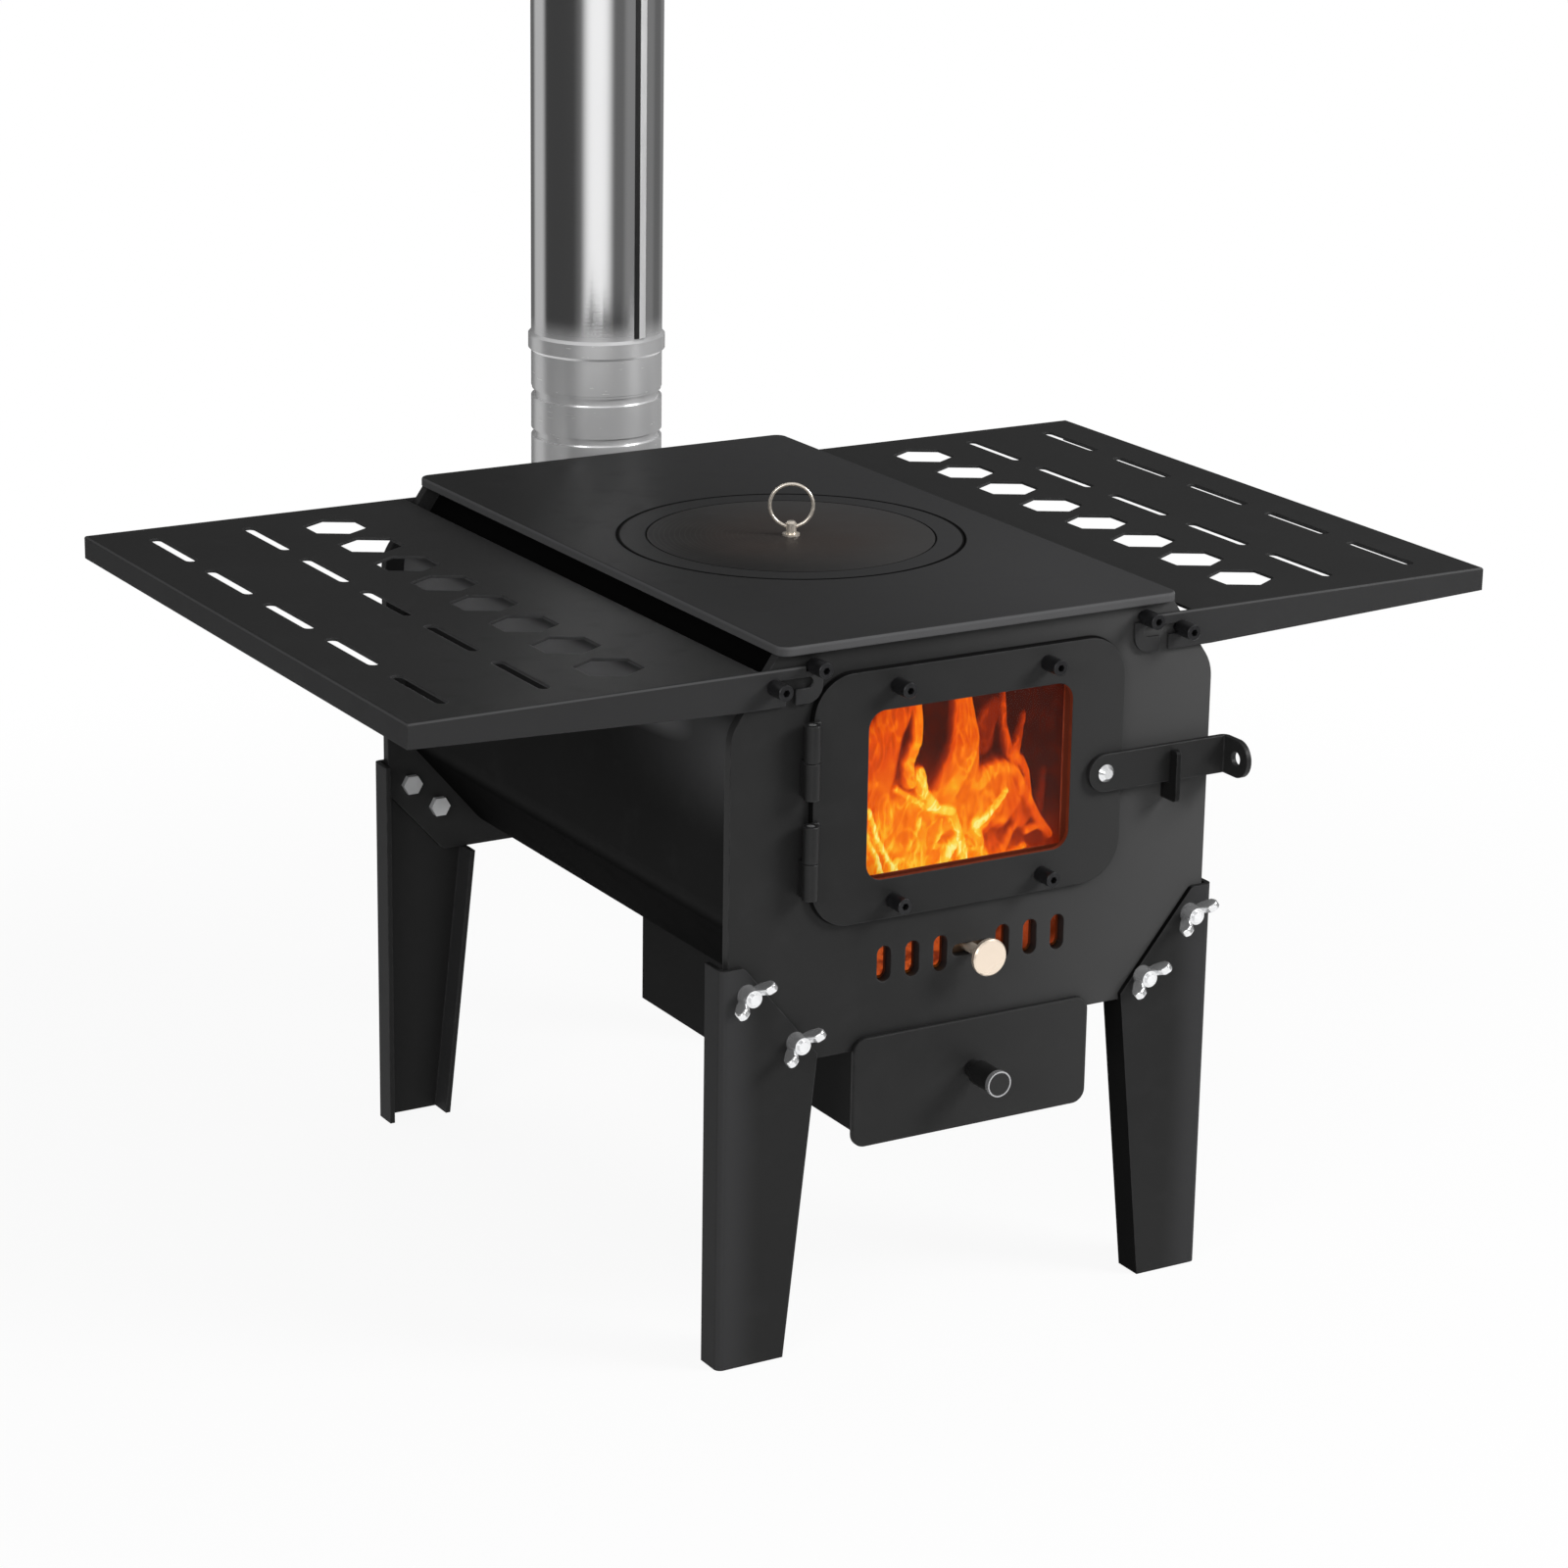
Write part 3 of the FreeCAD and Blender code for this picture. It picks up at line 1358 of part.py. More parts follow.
def make_flue_collar():
    """A short tube through the back plate with a flange against its outer face."""
    length = d.plate_thickness + d.collar_reach
    flange = collar_radius + d.collar_flange
    flange_top = d.plate_thickness + d.collar_flange_thickness
    bore = collar_radius - d.collar_wall
    profile = [
        (bore, ZERO),
        (collar_radius, ZERO),
        (collar_radius, d.plate_thickness),
        (flange, d.plate_thickness),
        (flange, flange_top),
        (collar_radius, flange_top),
        (collar_radius, length),
        (bore, length),
    ]
    body = turned("flue_collar", profile)
    keep(place(body, d.flue_offset, back_face, d.flue_height, REARWARD), "flue_collar")


def make_flue_tee():
    """A sheet tee: its branch slips over the collar, its grooved top ends in a neck for the pipe."""
    groove = d.flue_radius - d.tee_groove_depth
    stop = flue_bore + d.tee_stop_lap
    band_low = tee_shoulder - d.tee_band_height
    lower_groove = band_low - d.tee_groove_height
    neck_top = tee_seat + d.neck_length
    outside = [
        (ZERO, tee_foot),
        (d.flue_radius, tee_foot),
        (d.flue_radius, lower_groove),
        (groove, lower_groove),
        (groove, band_low),
        (d.flue_radius, band_low),
        (d.flue_radius, tee_shoulder),
        (groove, tee_shoulder),
        (groove, tee_stop),
        (stop, tee_stop),
        (stop, tee_seat),
        (neck_radius, tee_seat),
        (neck_radius, neck_top),
        (ZERO, neck_top),
    ]
    barrel = place(turned("tee_barrel", outside), d.flue_offset, flue_along, ZERO)
    branch_start = d.body_depth + d.collar_flange_thickness + d.seat_gap
    branch_length = flue_along - branch_start
    axis, up = d.flue_offset, d.flue_height
    branch = rod("tee_branch", axis, branch_start, up, branch_radius, branch_length, REARWARD)
    room_height = lower_groove - tee_foot
    room = rod("tee_room", axis, flue_along, tee_foot - d.overrun, flue_bore, room_height)
    neck_height = neck_top - tee_foot + d.overrun
    neck_room = rod("tee_neck_room", axis, flue_along, tee_foot, groove - d.neck_wall, neck_height)
    branch_mouth = branch_start - d.overrun
    branch_depth = branch_length + d.overrun
    branch_room = rod("tee_branch_room", axis, branch_mouth, up, branch_bore, branch_depth, REARWARD)
    solid = union("tee_solid", [barrel, branch])
    hollow = union("tee_hollow", [room, neck_room, branch_room])
    keep(difference("flue_tee", solid, hollow), "flue_tee")


def make_tee_cap():
    """A shallow cup pushed up over the tee's lower end."""
    inside = d.flue_radius + d.flue_slack
    outside = inside + d.cap_wall
    floor = -d.seat_gap - d.cap_wall
    profile = [
        (ZERO, floor),
        (outside, floor),
        (outside, d.cap_depth),
        (inside, d.cap_depth),
        (inside, -d.seat_gap),
        (ZERO, -d.seat_gap),
    ]
    keep(place(turned("tee_cap", profile), d.flue_offset, flue_along, tee_foot), "tee_cap")


def make_flue_pipe():
    """One length of pipe with a swaged bead near its foot and a drawn-in neck for the next length."""
    bead_low = d.bead_above_rim
    bead_high = bead_low + d.bead_height
    slope = d.bead_rise
    crown = d.flue_radius + d.bead_rise
    shoulder = d.pipe_length
    neck_top = shoulder + d.neck_length
    profile = [
        (flue_bore, ZERO),
        (d.flue_radius, ZERO),
        (d.flue_radius, bead_low),
        (crown, bead_low + slope),
        (crown, bead_high - slope),
        (d.flue_radius, bead_high),
        (d.flue_radius, shoulder),
        (neck_radius, shoulder + d.seat_gap),
        (neck_radius, neck_top),
        (neck_bore, neck_top),
        (neck_bore, shoulder - d.neck_wall),
        (flue_bore, shoulder - d.neck_wall * 2),
    ]
    keep(place(turned("flue_pipe", profile), d.flue_offset, flue_along, pipe_rim), "flue_pipe")


stove_front = drawer_face - d.drawer_knob_length
stove_back = flue_along + d.flue_radius + d.bead_rise
stove_middle = (stove_front + stove_back) / 2

make_front_plate()
make_back_plate()
make_body_shell()
make_cooktop()
make_reducer_ring()
make_lid()
make_lid_handle()
make_door_plate()
make_glazing()
make_door_fasteners()
make_hinges()
make_latch()
make_latch_rivet()
make_latch_catch()
make_air_slide()
make_air_guides()
make_air_knob()
make_ash_box()
make_ash_tray()
make_drawer_front()
make_drawer_knob()
make_grate()
make_legs()
make_leg_fasteners()
make_shelf("shelf_left", LEFT)
make_shelf("shelf_right", RIGHT)
make_shelf_studs()
make_flue_collar()
make_flue_tee()
make_tee_cap()
make_flue_pipe()

doc.recompute()
for item in doc.Objects:
    if "Invalid" in item.State or "Error" in item.State:
        raise RuntimeError(f"{item.Label} failed: {item.State}")
for item in nodes:
    if item.Shape.isNull() or not item.Shape.isValid() or not item.Shape.Solids:
        raise RuntimeError(f"{item.Label} has no valid solid")

os.makedirs("parts", exist_ok=True)
for item in nodes:
    item.Shape.exportStep(f"parts/{item.Label}.step")
    print(f"{item.Label}: {len(item.Shape.Solids)} solids, {item.Shape.Volume:.0f} mm3")
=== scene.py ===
import math

import bpy
from mathutils import Matrix, Vector


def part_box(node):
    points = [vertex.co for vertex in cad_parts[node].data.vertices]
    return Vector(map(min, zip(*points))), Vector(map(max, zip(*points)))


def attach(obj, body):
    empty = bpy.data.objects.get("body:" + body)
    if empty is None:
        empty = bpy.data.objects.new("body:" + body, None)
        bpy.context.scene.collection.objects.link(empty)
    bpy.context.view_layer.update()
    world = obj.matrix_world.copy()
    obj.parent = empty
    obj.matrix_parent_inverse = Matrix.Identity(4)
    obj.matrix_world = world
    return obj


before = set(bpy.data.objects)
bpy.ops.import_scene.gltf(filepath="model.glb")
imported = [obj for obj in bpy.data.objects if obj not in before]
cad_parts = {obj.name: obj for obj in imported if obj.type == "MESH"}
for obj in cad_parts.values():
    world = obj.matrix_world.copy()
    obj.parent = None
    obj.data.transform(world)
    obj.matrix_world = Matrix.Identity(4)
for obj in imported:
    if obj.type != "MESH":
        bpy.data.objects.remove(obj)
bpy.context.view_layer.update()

# Front and back plates, body shell and ash box: laser-cut and bent mild steel, welded, then coated
# outside and in with a matte black heat-proof powder. The fire side is dulled by soot and fly ash.


class Shade:
    """One socket of a material; sums and products of sockets add the nodes that work them out."""

    def __init__(self, tree, socket=None):
        self.tree = tree
        self.socket = socket

    def node(self, kind, settings, inputs, output=0):
        """Adds any node: its settings first, then the values or links of its sockets."""
        made = self.tree.nodes.new("ShaderNode" + kind)
        for key, value in settings.items():
            if key == "stops":
                while len(made.color_ramp.elements) < len(value):
                    made.color_ramp.elements.new(1.0)
                for element, (place, colour) in zip(made.color_ramp.elements, value):
                    element.position = place
                    element.color = (*colour, 1.0)
            else:
                setattr(made, key, value)
        for key, value in inputs.items():
            if isinstance(value, Shade):
                self.tree.links.new(value.socket, made.inputs[key])
            else:
                made.inputs[key].default_value = value
        return Shade(self.tree, made.outputs[output])

    def maths(self, operation, first, second=0.0):
        return self.node("Math", {"operation": operation}, {0: first, 1: second})

    def __add__(self, other):
        return self.maths("ADD", self, other)

    def __sub__(self, other):
        return self.maths("SUBTRACT", self, other)

    def __rsub__(self, other):
        return self.maths("SUBTRACT", other, self)

    def __mul__(self, other):
        return self.maths("MULTIPLY", self, other)

    __radd__ = __add__
    __rmul__ = __mul__

    def __abs__(self):
        return self.maths("ABSOLUTE", self)

    def larger(self, other):
        return self.maths("MAXIMUM", self, other)

    def wave(self, rate):
        """A sine wave along this value; its rate is in radians to the metre."""
        return self.maths("SINE", self * rate)

    def between(self, low, high):
        """0 below low, 1 above high and a soft step between; low may be the larger one."""
        settings = {"interpolation_type": "SMOOTHSTEP"}
        return self.node("MapRange", settings, {"Value": self, "From Min": low, "From Max": high})

    def mix(self, dark, pale):
        """A colour between two others, by this value."""
        settings = {"data_type": "RGBA"}
        colours = [c if isinstance(c, Shade) else (*c, 1.0) for c in (dark, pale)]
        return self.node("Mix", settings, {"Factor": self, 6: colours[0], 7: colours[1]}, 2)

    def noise(self, scale, detail=2.0, distortion=0.0):
        inputs = {"Vector": self, "Scale": scale, "Detail": detail, "Distortion": distortion}
        return self.node("TexNoise", {}, inputs)

    def bump(self, strength, depth, **under):
        """The normal of a surface raised by this value; under may give the normal below it."""
        return self.node("Bump", {}, {"Strength": strength, "Distance": depth, "Height": self, **under})

    def part(self, axis):
        return self.node("SeparateXYZ", {}, {0: self}, axis)

    def stretched(self, x, y, z):
        """A place or direction with its three parts scaled apart."""
        return self.node("VectorMath", {"operation": "MULTIPLY"}, {0: self, 1: (x, y, z)})

    def measured_from(self, point):
        return self.node("VectorMath", {"operation": "SUBTRACT"}, {0: self, 1: point})

    def dot(self, other):
        return self.node("VectorMath", {"operation": "DOT_PRODUCT"}, {0: self, 1: other}, "Value")

    def length(self):
        return self.node("VectorMath", {"operation": "LENGTH"}, {0: self}, "Value")


def new_finish(name):
    """A new material: its Shade, its shader, and each point's place and facing in the stove's frame."""
    material = bpy.data.materials.new(name)
    material.use_nodes = True
    shade = Shade(material.node_tree)
    place = shade.node("TexCoord", {}, {}, "Object")
    facing = shade.node("TexCoord", {}, {}, "Normal")
    return material, shade, material.node_tree.nodes["Principled BSDF"], place, facing


def set_finish(shade, shader, **values):
    """Sets the shader's sockets, each by a plain value or by what varies over the surface."""
    for name, value in values.items():
        socket = shader.inputs[name.replace("_", " ")]
        if isinstance(value, Shade):
            shade.tree.links.new(value.socket, socket)
        else:
            socket.default_value = value


def give(material, *nodes):
    """Puts a material on the whole of each CAD piece."""
    for node in nodes:
        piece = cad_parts[node]
        if not piece.material_slots:
            piece.data.materials.append(material)
        for slot in piece.material_slots:
            slot.material = material


def grey(level):
    return (level, level, level)


def powder_coat(name, *patches, tone=1.0, rough=0.5, shine=0.16, edge_wear_and_highlight=0.6, glow=None):
    """Fine-grained matte black, paler along its edges, partly as wear and partly as a painted highlight.

    Each patch gives, from a point's place and facing, how far the coat is changed there and its colour;
    a glow gives the faint light that a part of it throws back.
    """
    material, shade, shader, place, facing = new_finish(name)
    mottle = place.noise(11.0, 3.0)
    dust = place.noise(46.0, 5.0).between(0.5, 0.78)
    colour = mottle.mix(grey(0.0135 * tone), grey(0.0195 * tone))
    colour = (dust * 0.12).mix(colour, (0.045, 0.045, 0.046))
    edge_radius = 0.0012
    rounded = shade.node("Bevel", {"samples": 4}, {"Radius": edge_radius})
    flat = shade.node("NewGeometry", {}, {}, "Normal")
    # Pale edges: partly wear, partly a painted highlight along the rounded edges.
    worn = (1.0 - rounded.dot(flat)).between(0.01, 0.16) * place.noise(130.0, 3.0).between(0.3, 0.6)
    colour = (worn * edge_wear_and_highlight).mix(colour, (0.070, 0.070, 0.072))
    roughness = rough + mottle * 0.06 + dust * 0.06
    for patch in patches:
        share, tint = patch(place, facing)
        colour = share.mix(colour, tint)
        roughness = roughness + share * 0.3
    normal = place.noise(2600.0, 2.0).bump(0.25, 0.0001, Normal=rounded)
    set_finish(shade, shader, Base_Color=colour, Roughness=roughness, Specular_IOR_Level=shine, Normal=normal)
    if glow:
        set_finish(shade, shader, Emission_Color=glow(place, facing), Emission_Strength=1.0)
    return material


def sooty(where):
    """A patch of soot and pale fly ash over the faces that where picks out."""

    def patch(place, facing):
        ash = place.noise(70.0, 6.0).between(0.42, 0.66)
        return where(place, facing), ash.mix((0.010, 0.009, 0.008), (0.060, 0.052, 0.046))

    return patch


def looks(facing, axis, way):
    """1 on the faces that look along an axis, forward for a way of 1 and back for -1."""
    return facing.part(axis).between(0.5 * way, 0.9 * way)


front_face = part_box("front_plate")[0].y
fire_height = 0.30
shell_half = 0.137
floor_half = 0.082
floor_height, floor_lean = 0.182, 0.86
shoulder_height, shoulder_lean = 0.3586, 0.7
section_blur = 0.002


def toward_fire(place, facing):
    """Faces of the shell that look in toward the middle of the firebox."""
    out = place.part(0) * facing.part(0) + (place.part(2) - fire_height) * facing.part(2)
    return out.between(0.0, -0.02)


def in_firebox(place):
    """1 within the shell's own section: straight sides, with sloping corners above and below."""
    up, across = place.part(2), abs(place.part(0))
    lower = (up - floor_height) * floor_lean + floor_half
    upper = shell_half - (up - shoulder_height) * shoulder_lean
    reach = up.maths("MINIMUM", up.maths("MINIMUM", lower, upper), shell_half)
    return (reach - across).between(0.0, section_blur)


def rear_side(place, facing):
    return looks(facing, 1, 1.0) * in_firebox(place)


def front_side(place, facing):
    return looks(facing, 1, -1.0) * in_firebox(place)


def underside(place, facing):
    return looks(facing, 2, -1.0) * in_firebox(place)


def lower_slope_painted_shade(place, facing):
    """Painted shade: the lower slopes, painted deepest black."""
    return facing.part(2).between(-0.2, -0.6), grey(0.0028)


cooktop_side, shelf_side = 0.1285, 0.131


def upper_slope_painted_light_and_shade(place, facing):
    """Painted light, grey, on the upper slopes under the shelves; painted shade, black, beside the cooktop.
    """
    outer = abs(place.part(0)).between(cooktop_side, shelf_side)
    return facing.part(2).between(0.2, 0.6), outer.mix(grey(0.0026), (0.105, 0.105, 0.107))


def upper_side_painted_light(place, facing):
    """The upper part of each side: painted light, grey under the shelf and, fainter, at its front end."""
    up, along = place.part(2), place.part(1) - front_face
    shelf_low, shelf_high, shelf_near, shelf_far = 0.326, 0.344, 0.03, 0.11
    end_low, end_high, end_near, end_far = 0.285, 0.352, 0.01, 0.17
    under_shelf = up.between(shelf_low, shelf_high) * along.between(shelf_near, shelf_far)
    front_end = up.between(end_low, end_high) * along.between(end_far, end_near)
    upright = abs(facing.part(0)).between(0.9, 0.98)
    return upright * under_shelf.larger(front_end * 0.45), (0.17, 0.17, 0.173)


def low_glow(place, facing):
    """The embers' red light on the foot of the shell's inside."""
    glow_top, glow_full = 0.262, 0.235
    low = place.part(2).between(glow_top, glow_full) * toward_fire(place, facing)
    return (low * place.noise(40.0, 2.0).between(0.2, 0.8)).mix(grey(0.0), (0.34, 0.048, 0.012))


# The shell's slopes and upper sides carry painted light and painted shade.
shell_coat = powder_coat(
    "shell_black", lower_slope_painted_shade, upper_slope_painted_light_and_shade, upper_side_painted_light, sooty(toward_fire),
    tone=0.8, rough=0.6, shine=0.012, glow=low_glow,
)
give(shell_coat, "body_shell")
door_low, door_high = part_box("door_plate")
door_middle, door_half = (door_low + door_high) / 2, (door_high - door_low) / 2
door_corner = 0.024
painted_shade_black = grey(0.0016)
painted_shadow_width, painted_shadow_core = 0.0012, 0.0004


def door_painted_shadow(place, facing):
    """Painted shadow: the dark line round the door, on the plate behind its edge."""
    across = abs(place.part(0) - door_middle.x) - (door_half.x - door_corner)
    upward = abs(place.part(2) - door_middle.z) - (door_half.z - door_corner)
    past_corner = place.node("CombineXYZ", {}, {0: across.larger(0.0), 1: upward.larger(0.0)})
    apart = past_corner.length() - door_corner
    return apart.between(painted_shadow_width, painted_shadow_core) * looks(facing, 1, -1.0), painted_shade_black


def painted_light_right(level):
    """Painted light: a patch on a front face, painted a little paler toward its right."""
    dark_side, pale_side = -0.08, 0.18

    def patch(place, facing):
        return place.part(0).between(dark_side, pale_side) * looks(facing, 1, -1.0), grey(level)

    return patch


# Painted light and shadow: paler toward the right, and a dark shadow line round the door.
front_coat = powder_coat("front_plate_black", painted_light_right(0.058), sooty(rear_side), door_painted_shadow, tone=1.1)
give(front_coat, "front_plate")
give(powder_coat("back_plate_black", sooty(front_side)), "back_plate")
give(powder_coat("ash_box_black", tone=0.9, rough=0.6, shine=0.03), "ash_box")

# Cooktop and hob ring: thick steel plate with a round opening, and the stepped ring that drops into
# it. Both have the body's black coat with a lower sheen. Their tops are painted paler toward the right
# and front as painted light, their joint lines are painted shade, and the plate's rim has a pale bead
# as a painted highlight.
lid_low, lid_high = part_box("centre_lid")
lid_middle = (lid_low + lid_high) / 2
lid_radius = (lid_high.x - lid_low.x) / 2
ring_low, ring_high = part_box("reducer_ring")
ring_radius = (ring_high.x - ring_low.x) / 2


def from_lid(place):
    """How far a point lies from the lid's own axis."""
    return place.measured_from(lid_middle).stretched(1.0, 1.0, 0.0).length()


def joint_painted_shade(place, facing):
    """Painted shade: dark lines where the ring meets the plate and the lid meets the ring."""
    radius = from_lid(place)
    ring_line, lid_line = 0.0016, 0.0014
    outer = abs(radius - ring_radius).between(ring_line, ring_line / 2)
    inner = abs(radius - lid_radius).between(lid_line, lid_line / 2)
    return outer.larger(inner), grey(0.003)


def hob_painted_light(place, facing):
    """Painted light: the top is painted paler toward its right and its front."""
    dark_side, pale_side, dark_depth = -0.12, 0.13, 0.30
    painted_light_rightward = place.part(0).between(dark_side, pale_side)
    frontward = (place.part(1) - front_face).between(dark_depth, 0.0)
    return (painted_light_rightward * 0.75 + frontward * 0.35) * looks(facing, 2, 1.0), (0.048, 0.048, 0.049)


def rolled_edge(place, facing):
    """Painted highlight: the plate's rounded rim, painted as a pale bead."""
    opening_edge, plate_start = 0.108, 0.112
    rim = facing.part(2).between(0.97, 0.8) * facing.part(2).between(-0.3, 0.1)
    return rim * from_lid(place).between(opening_edge, plate_start), (0.090, 0.090, 0.092)


hob_coat = powder_coat(
    "hob_black", hob_painted_light, sooty(underside), joint_painted_shade, rolled_edge, tone=1.1, shine=0.06, edge_wear_and_highlight=0.9
)
give(hob_coat, "cooktop_plate")
ring_coat = powder_coat("ring_black", hob_painted_light, sooty(underside), joint_painted_shade, tone=1.1, shine=0.06)
give(ring_coat, "reducer_ring")

# Centre lid: a turned steel disc, coated satin black, that drops into the ring. Fine concentric tool
# marks spread the highlight into a fan. It is painted paler toward its right as painted light, and it
# is browner at the middle.
material, shade, shader, place, facing = new_finish("lid_turned_black")
radius = from_lid(place)
fine_rate, coarse_rate = 7000.0, 2100.0
warm_edge, warm_core = 0.085, 0.02
dark_side, pale_side = -0.075, 0.05
uneven = shade.node("CombineXYZ", {}, {0: radius}).noise(1400.0, 2.0)
tool_marks = radius.wave(fine_rate) * 0.5 + uneven
ring_mark = radius.wave(coarse_rate).between(0.7, 1.0)
warmth = radius.between(warm_edge, warm_core) * place.noise(24.0, 3.0)
# Painted light: the lid is painted paler toward its right.
painted_light_rightward = place.part(0).between(dark_side, pale_side)
colour = painted_light_rightward.mix((0.011, 0.0108, 0.0106), (0.048, 0.0465, 0.046))
colour = warmth.mix(colour, (0.044, 0.032, 0.027))
colour = (ring_mark * 0.35).mix(colour, (0.050, 0.048, 0.046))
rough = 0.50 + place.noise(60.0) * 0.08
normal = tool_marks.bump(0.40, 0.00004)
set_finish(shade, shader, Base_Color=colour, Roughness=rough, Specular_IOR_Level=0.08, Normal=normal)
give(material, "centre_lid")

# Lid post and ring, air knob and the drawer knob's rim: small turned and bent pieces of polished
# steel. The post stands on the lid and carries the ring; all but the rim have a warm straw tint.


def polished_steel(name, tint):
    material, shade, shader, place, facing = new_finish(name)
    haze = place.noise(70.0, 1.0)
    colour = haze.mix([0.93 * part for part in tint], tint)
    normal = place.noise(900.0, 1.0).bump(0.05, 0.00001)
    set_finish(shade, shader, Base_Color=colour, Metallic=0.72, Roughness=0.22 + haze * 0.10, Normal=normal)
    return material


give(polished_steel("lid_handle_steel", (0.88, 0.80, 0.70)), "lid_post", "lid_ring")
give(polished_steel("air_knob_steel", (0.98, 0.83, 0.68)), "air_knob")
give(polished_steel("knob_rim_steel", (0.50, 0.50, 0.51)), "drawer_knob_ferrule")

# Door: one plate of the same sheet as the front, coated black, with the sheet frame that clamps its
# glass from behind. One half of each hinge is welded to it and the other to the front plate. The cut
# faces round its window are painted orange-brown as firelight, and the frame glows faintly there as
# painted firelight. Its outer rim is painted black as the shade of the gap, and its face is painted
# paler toward its right as painted light.
glass_low, glass_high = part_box("door_glass")
glass_middle = (glass_low + glass_high) / 2
glass_lap = Vector((0.006, 0.0, 0.006))
window_half = (glass_high - glass_low) / 2 - glass_lap
window_blur, cut_lap, lit_lap = 0.001, 0.001, 0.003


# Painted shade: the door's rim faces are painted black as the shade of the gap.
def door_rim(place, facing):
    return abs(facing.part(1)).between(0.8, 0.5), painted_shade_black


def near_window(place, lap):
    """1 inside the window's outline and up to a lap outside it."""
    wide, high = window_half.x + lap, window_half.z + lap
    across = abs(place.part(0) - glass_middle.x).between(wide + window_blur, wide)
    upward = abs(place.part(2) - glass_middle.z).between(high + window_blur, high)
    return across * upward


# Painted firelight: the cut faces round the window are painted orange-brown.
def window_cut(place, facing):
    firelit_orange = place.noise(90.0, 3.0).mix((0.11, 0.018, 0.007), (0.21, 0.036, 0.012))
    return near_window(place, cut_lap) * abs(facing.part(1)).between(0.8, 0.5), firelit_orange


def fire_lit(place, facing):
    return near_window(place, lit_lap).mix(grey(0.0), (0.075, 0.014, 0.007))


give(powder_coat("door_black", painted_light_right(0.034), sooty(rear_side), door_rim, window_cut), "door_plate")
give(powder_coat("retainer_black", sooty(rear_side), window_cut, glow=fire_lit), "glass_retainer")
hinge_coat = powder_coat("hinge_black", tone=0.7, rough=0.36, shine=0.3)
give(hinge_coat, "hinge_knuckles_fixed", "hinge_knuckles_door")

# Window: a pane of clear, heat-proof ceramic glass, held between the door and its frame. A little
# smoke haze gathers toward its corners.
material, shade, shader, place, facing = new_finish("window_glass")
across = (place.part(0) - glass_middle.x) * (1.0 / window_half.x)
upward = (place.part(2) - glass_middle.z) * (1.0 / window_half.z)
corner = (across * across * upward * upward).between(0.2, 0.95)
smoke = corner * (0.4 + place.noise(60.0, 4.0) * 0.6)
colour = smoke.mix((0.97, 0.97, 0.96), (0.55, 0.42, 0.32))
set_finish(shade, shader, Base_Color=colour, Roughness=0.02 + smoke * 0.1, Transmission_Weight=1.0, IOR=1.1)
give(material, "door_glass")

# Gasket: a flat tape of white glass-fibre weave that seals the window, pressed between the glass and
# the door. The threads of its weave cross at right angles.
material, shade, shader, place, facing = new_finish("gasket_weave")
weave_rate = 4200.0
weave = place.part(0).wave(weave_rate) * place.part(2).wave(weave_rate)
colour = weave.between(-0.6, 0.8).mix((0.42, 0.40, 0.36), (0.70, 0.68, 0.63))
set_finish(shade, shader, Base_Color=colour, Roughness=0.9, Normal=weave.bump(0.5, 0.0002))
give(material, "glass_gasket")

# Socket screws of the door and the shelves' studs: black-oxide alloy steel with a light oil sheen.
# The screws clamp the glass and its frame to the door; the studs stand out of the end plates.
material, shade, shader, place, facing = new_finish("black_oxide")
oil = place.noise(420.0, 3.0)
colour = oil.mix((0.010, 0.010, 0.011), (0.030, 0.030, 0.032))
normal = place.noise(4000.0).bump(0.15, 0.00005)
set_finish(shade, shader, Base_Color=colour, Metallic=0.55, Roughness=0.30 + oil * 0.15, Normal=normal)
give(material, "door_screws", "shelf_studs_front", "shelf_studs_rear")

# Bolts, wing nuts, the latch rivet, the small nuts and the hinge pins: steel with a bright zinc
# plate, clouded by the bath. The bolts and the drawer knob's screw carry rolled threads.


def zinc_plate(name, metal, thread_pitch=None):
    material, shade, shader, place, facing = new_finish(name)
    cloud = place.noise(140.0, 2.0)
    colour = cloud.mix((0.84, 0.85, 0.86), (0.95, 0.95, 0.96))
    height = place.noise(1500.0, 2.0) * 0.15
    if thread_pitch:
        height = height + place.part(1).wave(2.0 * math.pi / thread_pitch)
    normal = height.bump(0.25, 0.0002)
    set_finish(shade, shader, Base_Color=colour, Metallic=metal, Roughness=0.16 + cloud * 0.12, Normal=normal)
    return material


bright_zinc = zinc_plate("zinc_cast", 0.85)
give(bright_zinc, "wing_nuts_front", "wing_nuts_rear", "latch_rivet", "door_screw_nuts", "hinge_pins")
threaded_zinc = zinc_plate("zinc_threaded", 0.55, thread_pitch=0.001)
give(threaded_zinc, "leg_bolts_front", "leg_bolts_rear", "drawer_knob_screw")

# Latch bar and catch: flat steel, coated black like the door. The bar is bent at its tip and swings
# on its rivet; the catch stands on the front plate and holds the bar.
give(powder_coat("latch_black", tone=1.2, rough=0.42), "latch_bar")
give(powder_coat("catch_black", tone=0.6, shine=0.08), "latch_catch")

# Air slide and its guides: bare sheet behind the vents, blued and browned by the heat. The plate
# runs sideways in the guides and is moved by the air knob.
material, shade, shader, place, facing = new_finish("heat_tinted_sheet")
heat = place.noise(26.0, 4.0)
stops = [(0.25, (0.10, 0.085, 0.08)), (0.5, (0.20, 0.13, 0.085)), (0.75, (0.11, 0.10, 0.14))]
tint = shade.node("ValToRGB", {"stops": stops}, {"Fac": heat})
normal = place.stretched(0.05, 1.0, 1.0).noise(2400.0).bump(0.15, 0.0001)
set_finish(shade, shader, Base_Color=tint, Metallic=0.9, Roughness=0.38 + heat * 0.2, Normal=normal)
give(material, "air_slide_plate", "air_slide_guides")

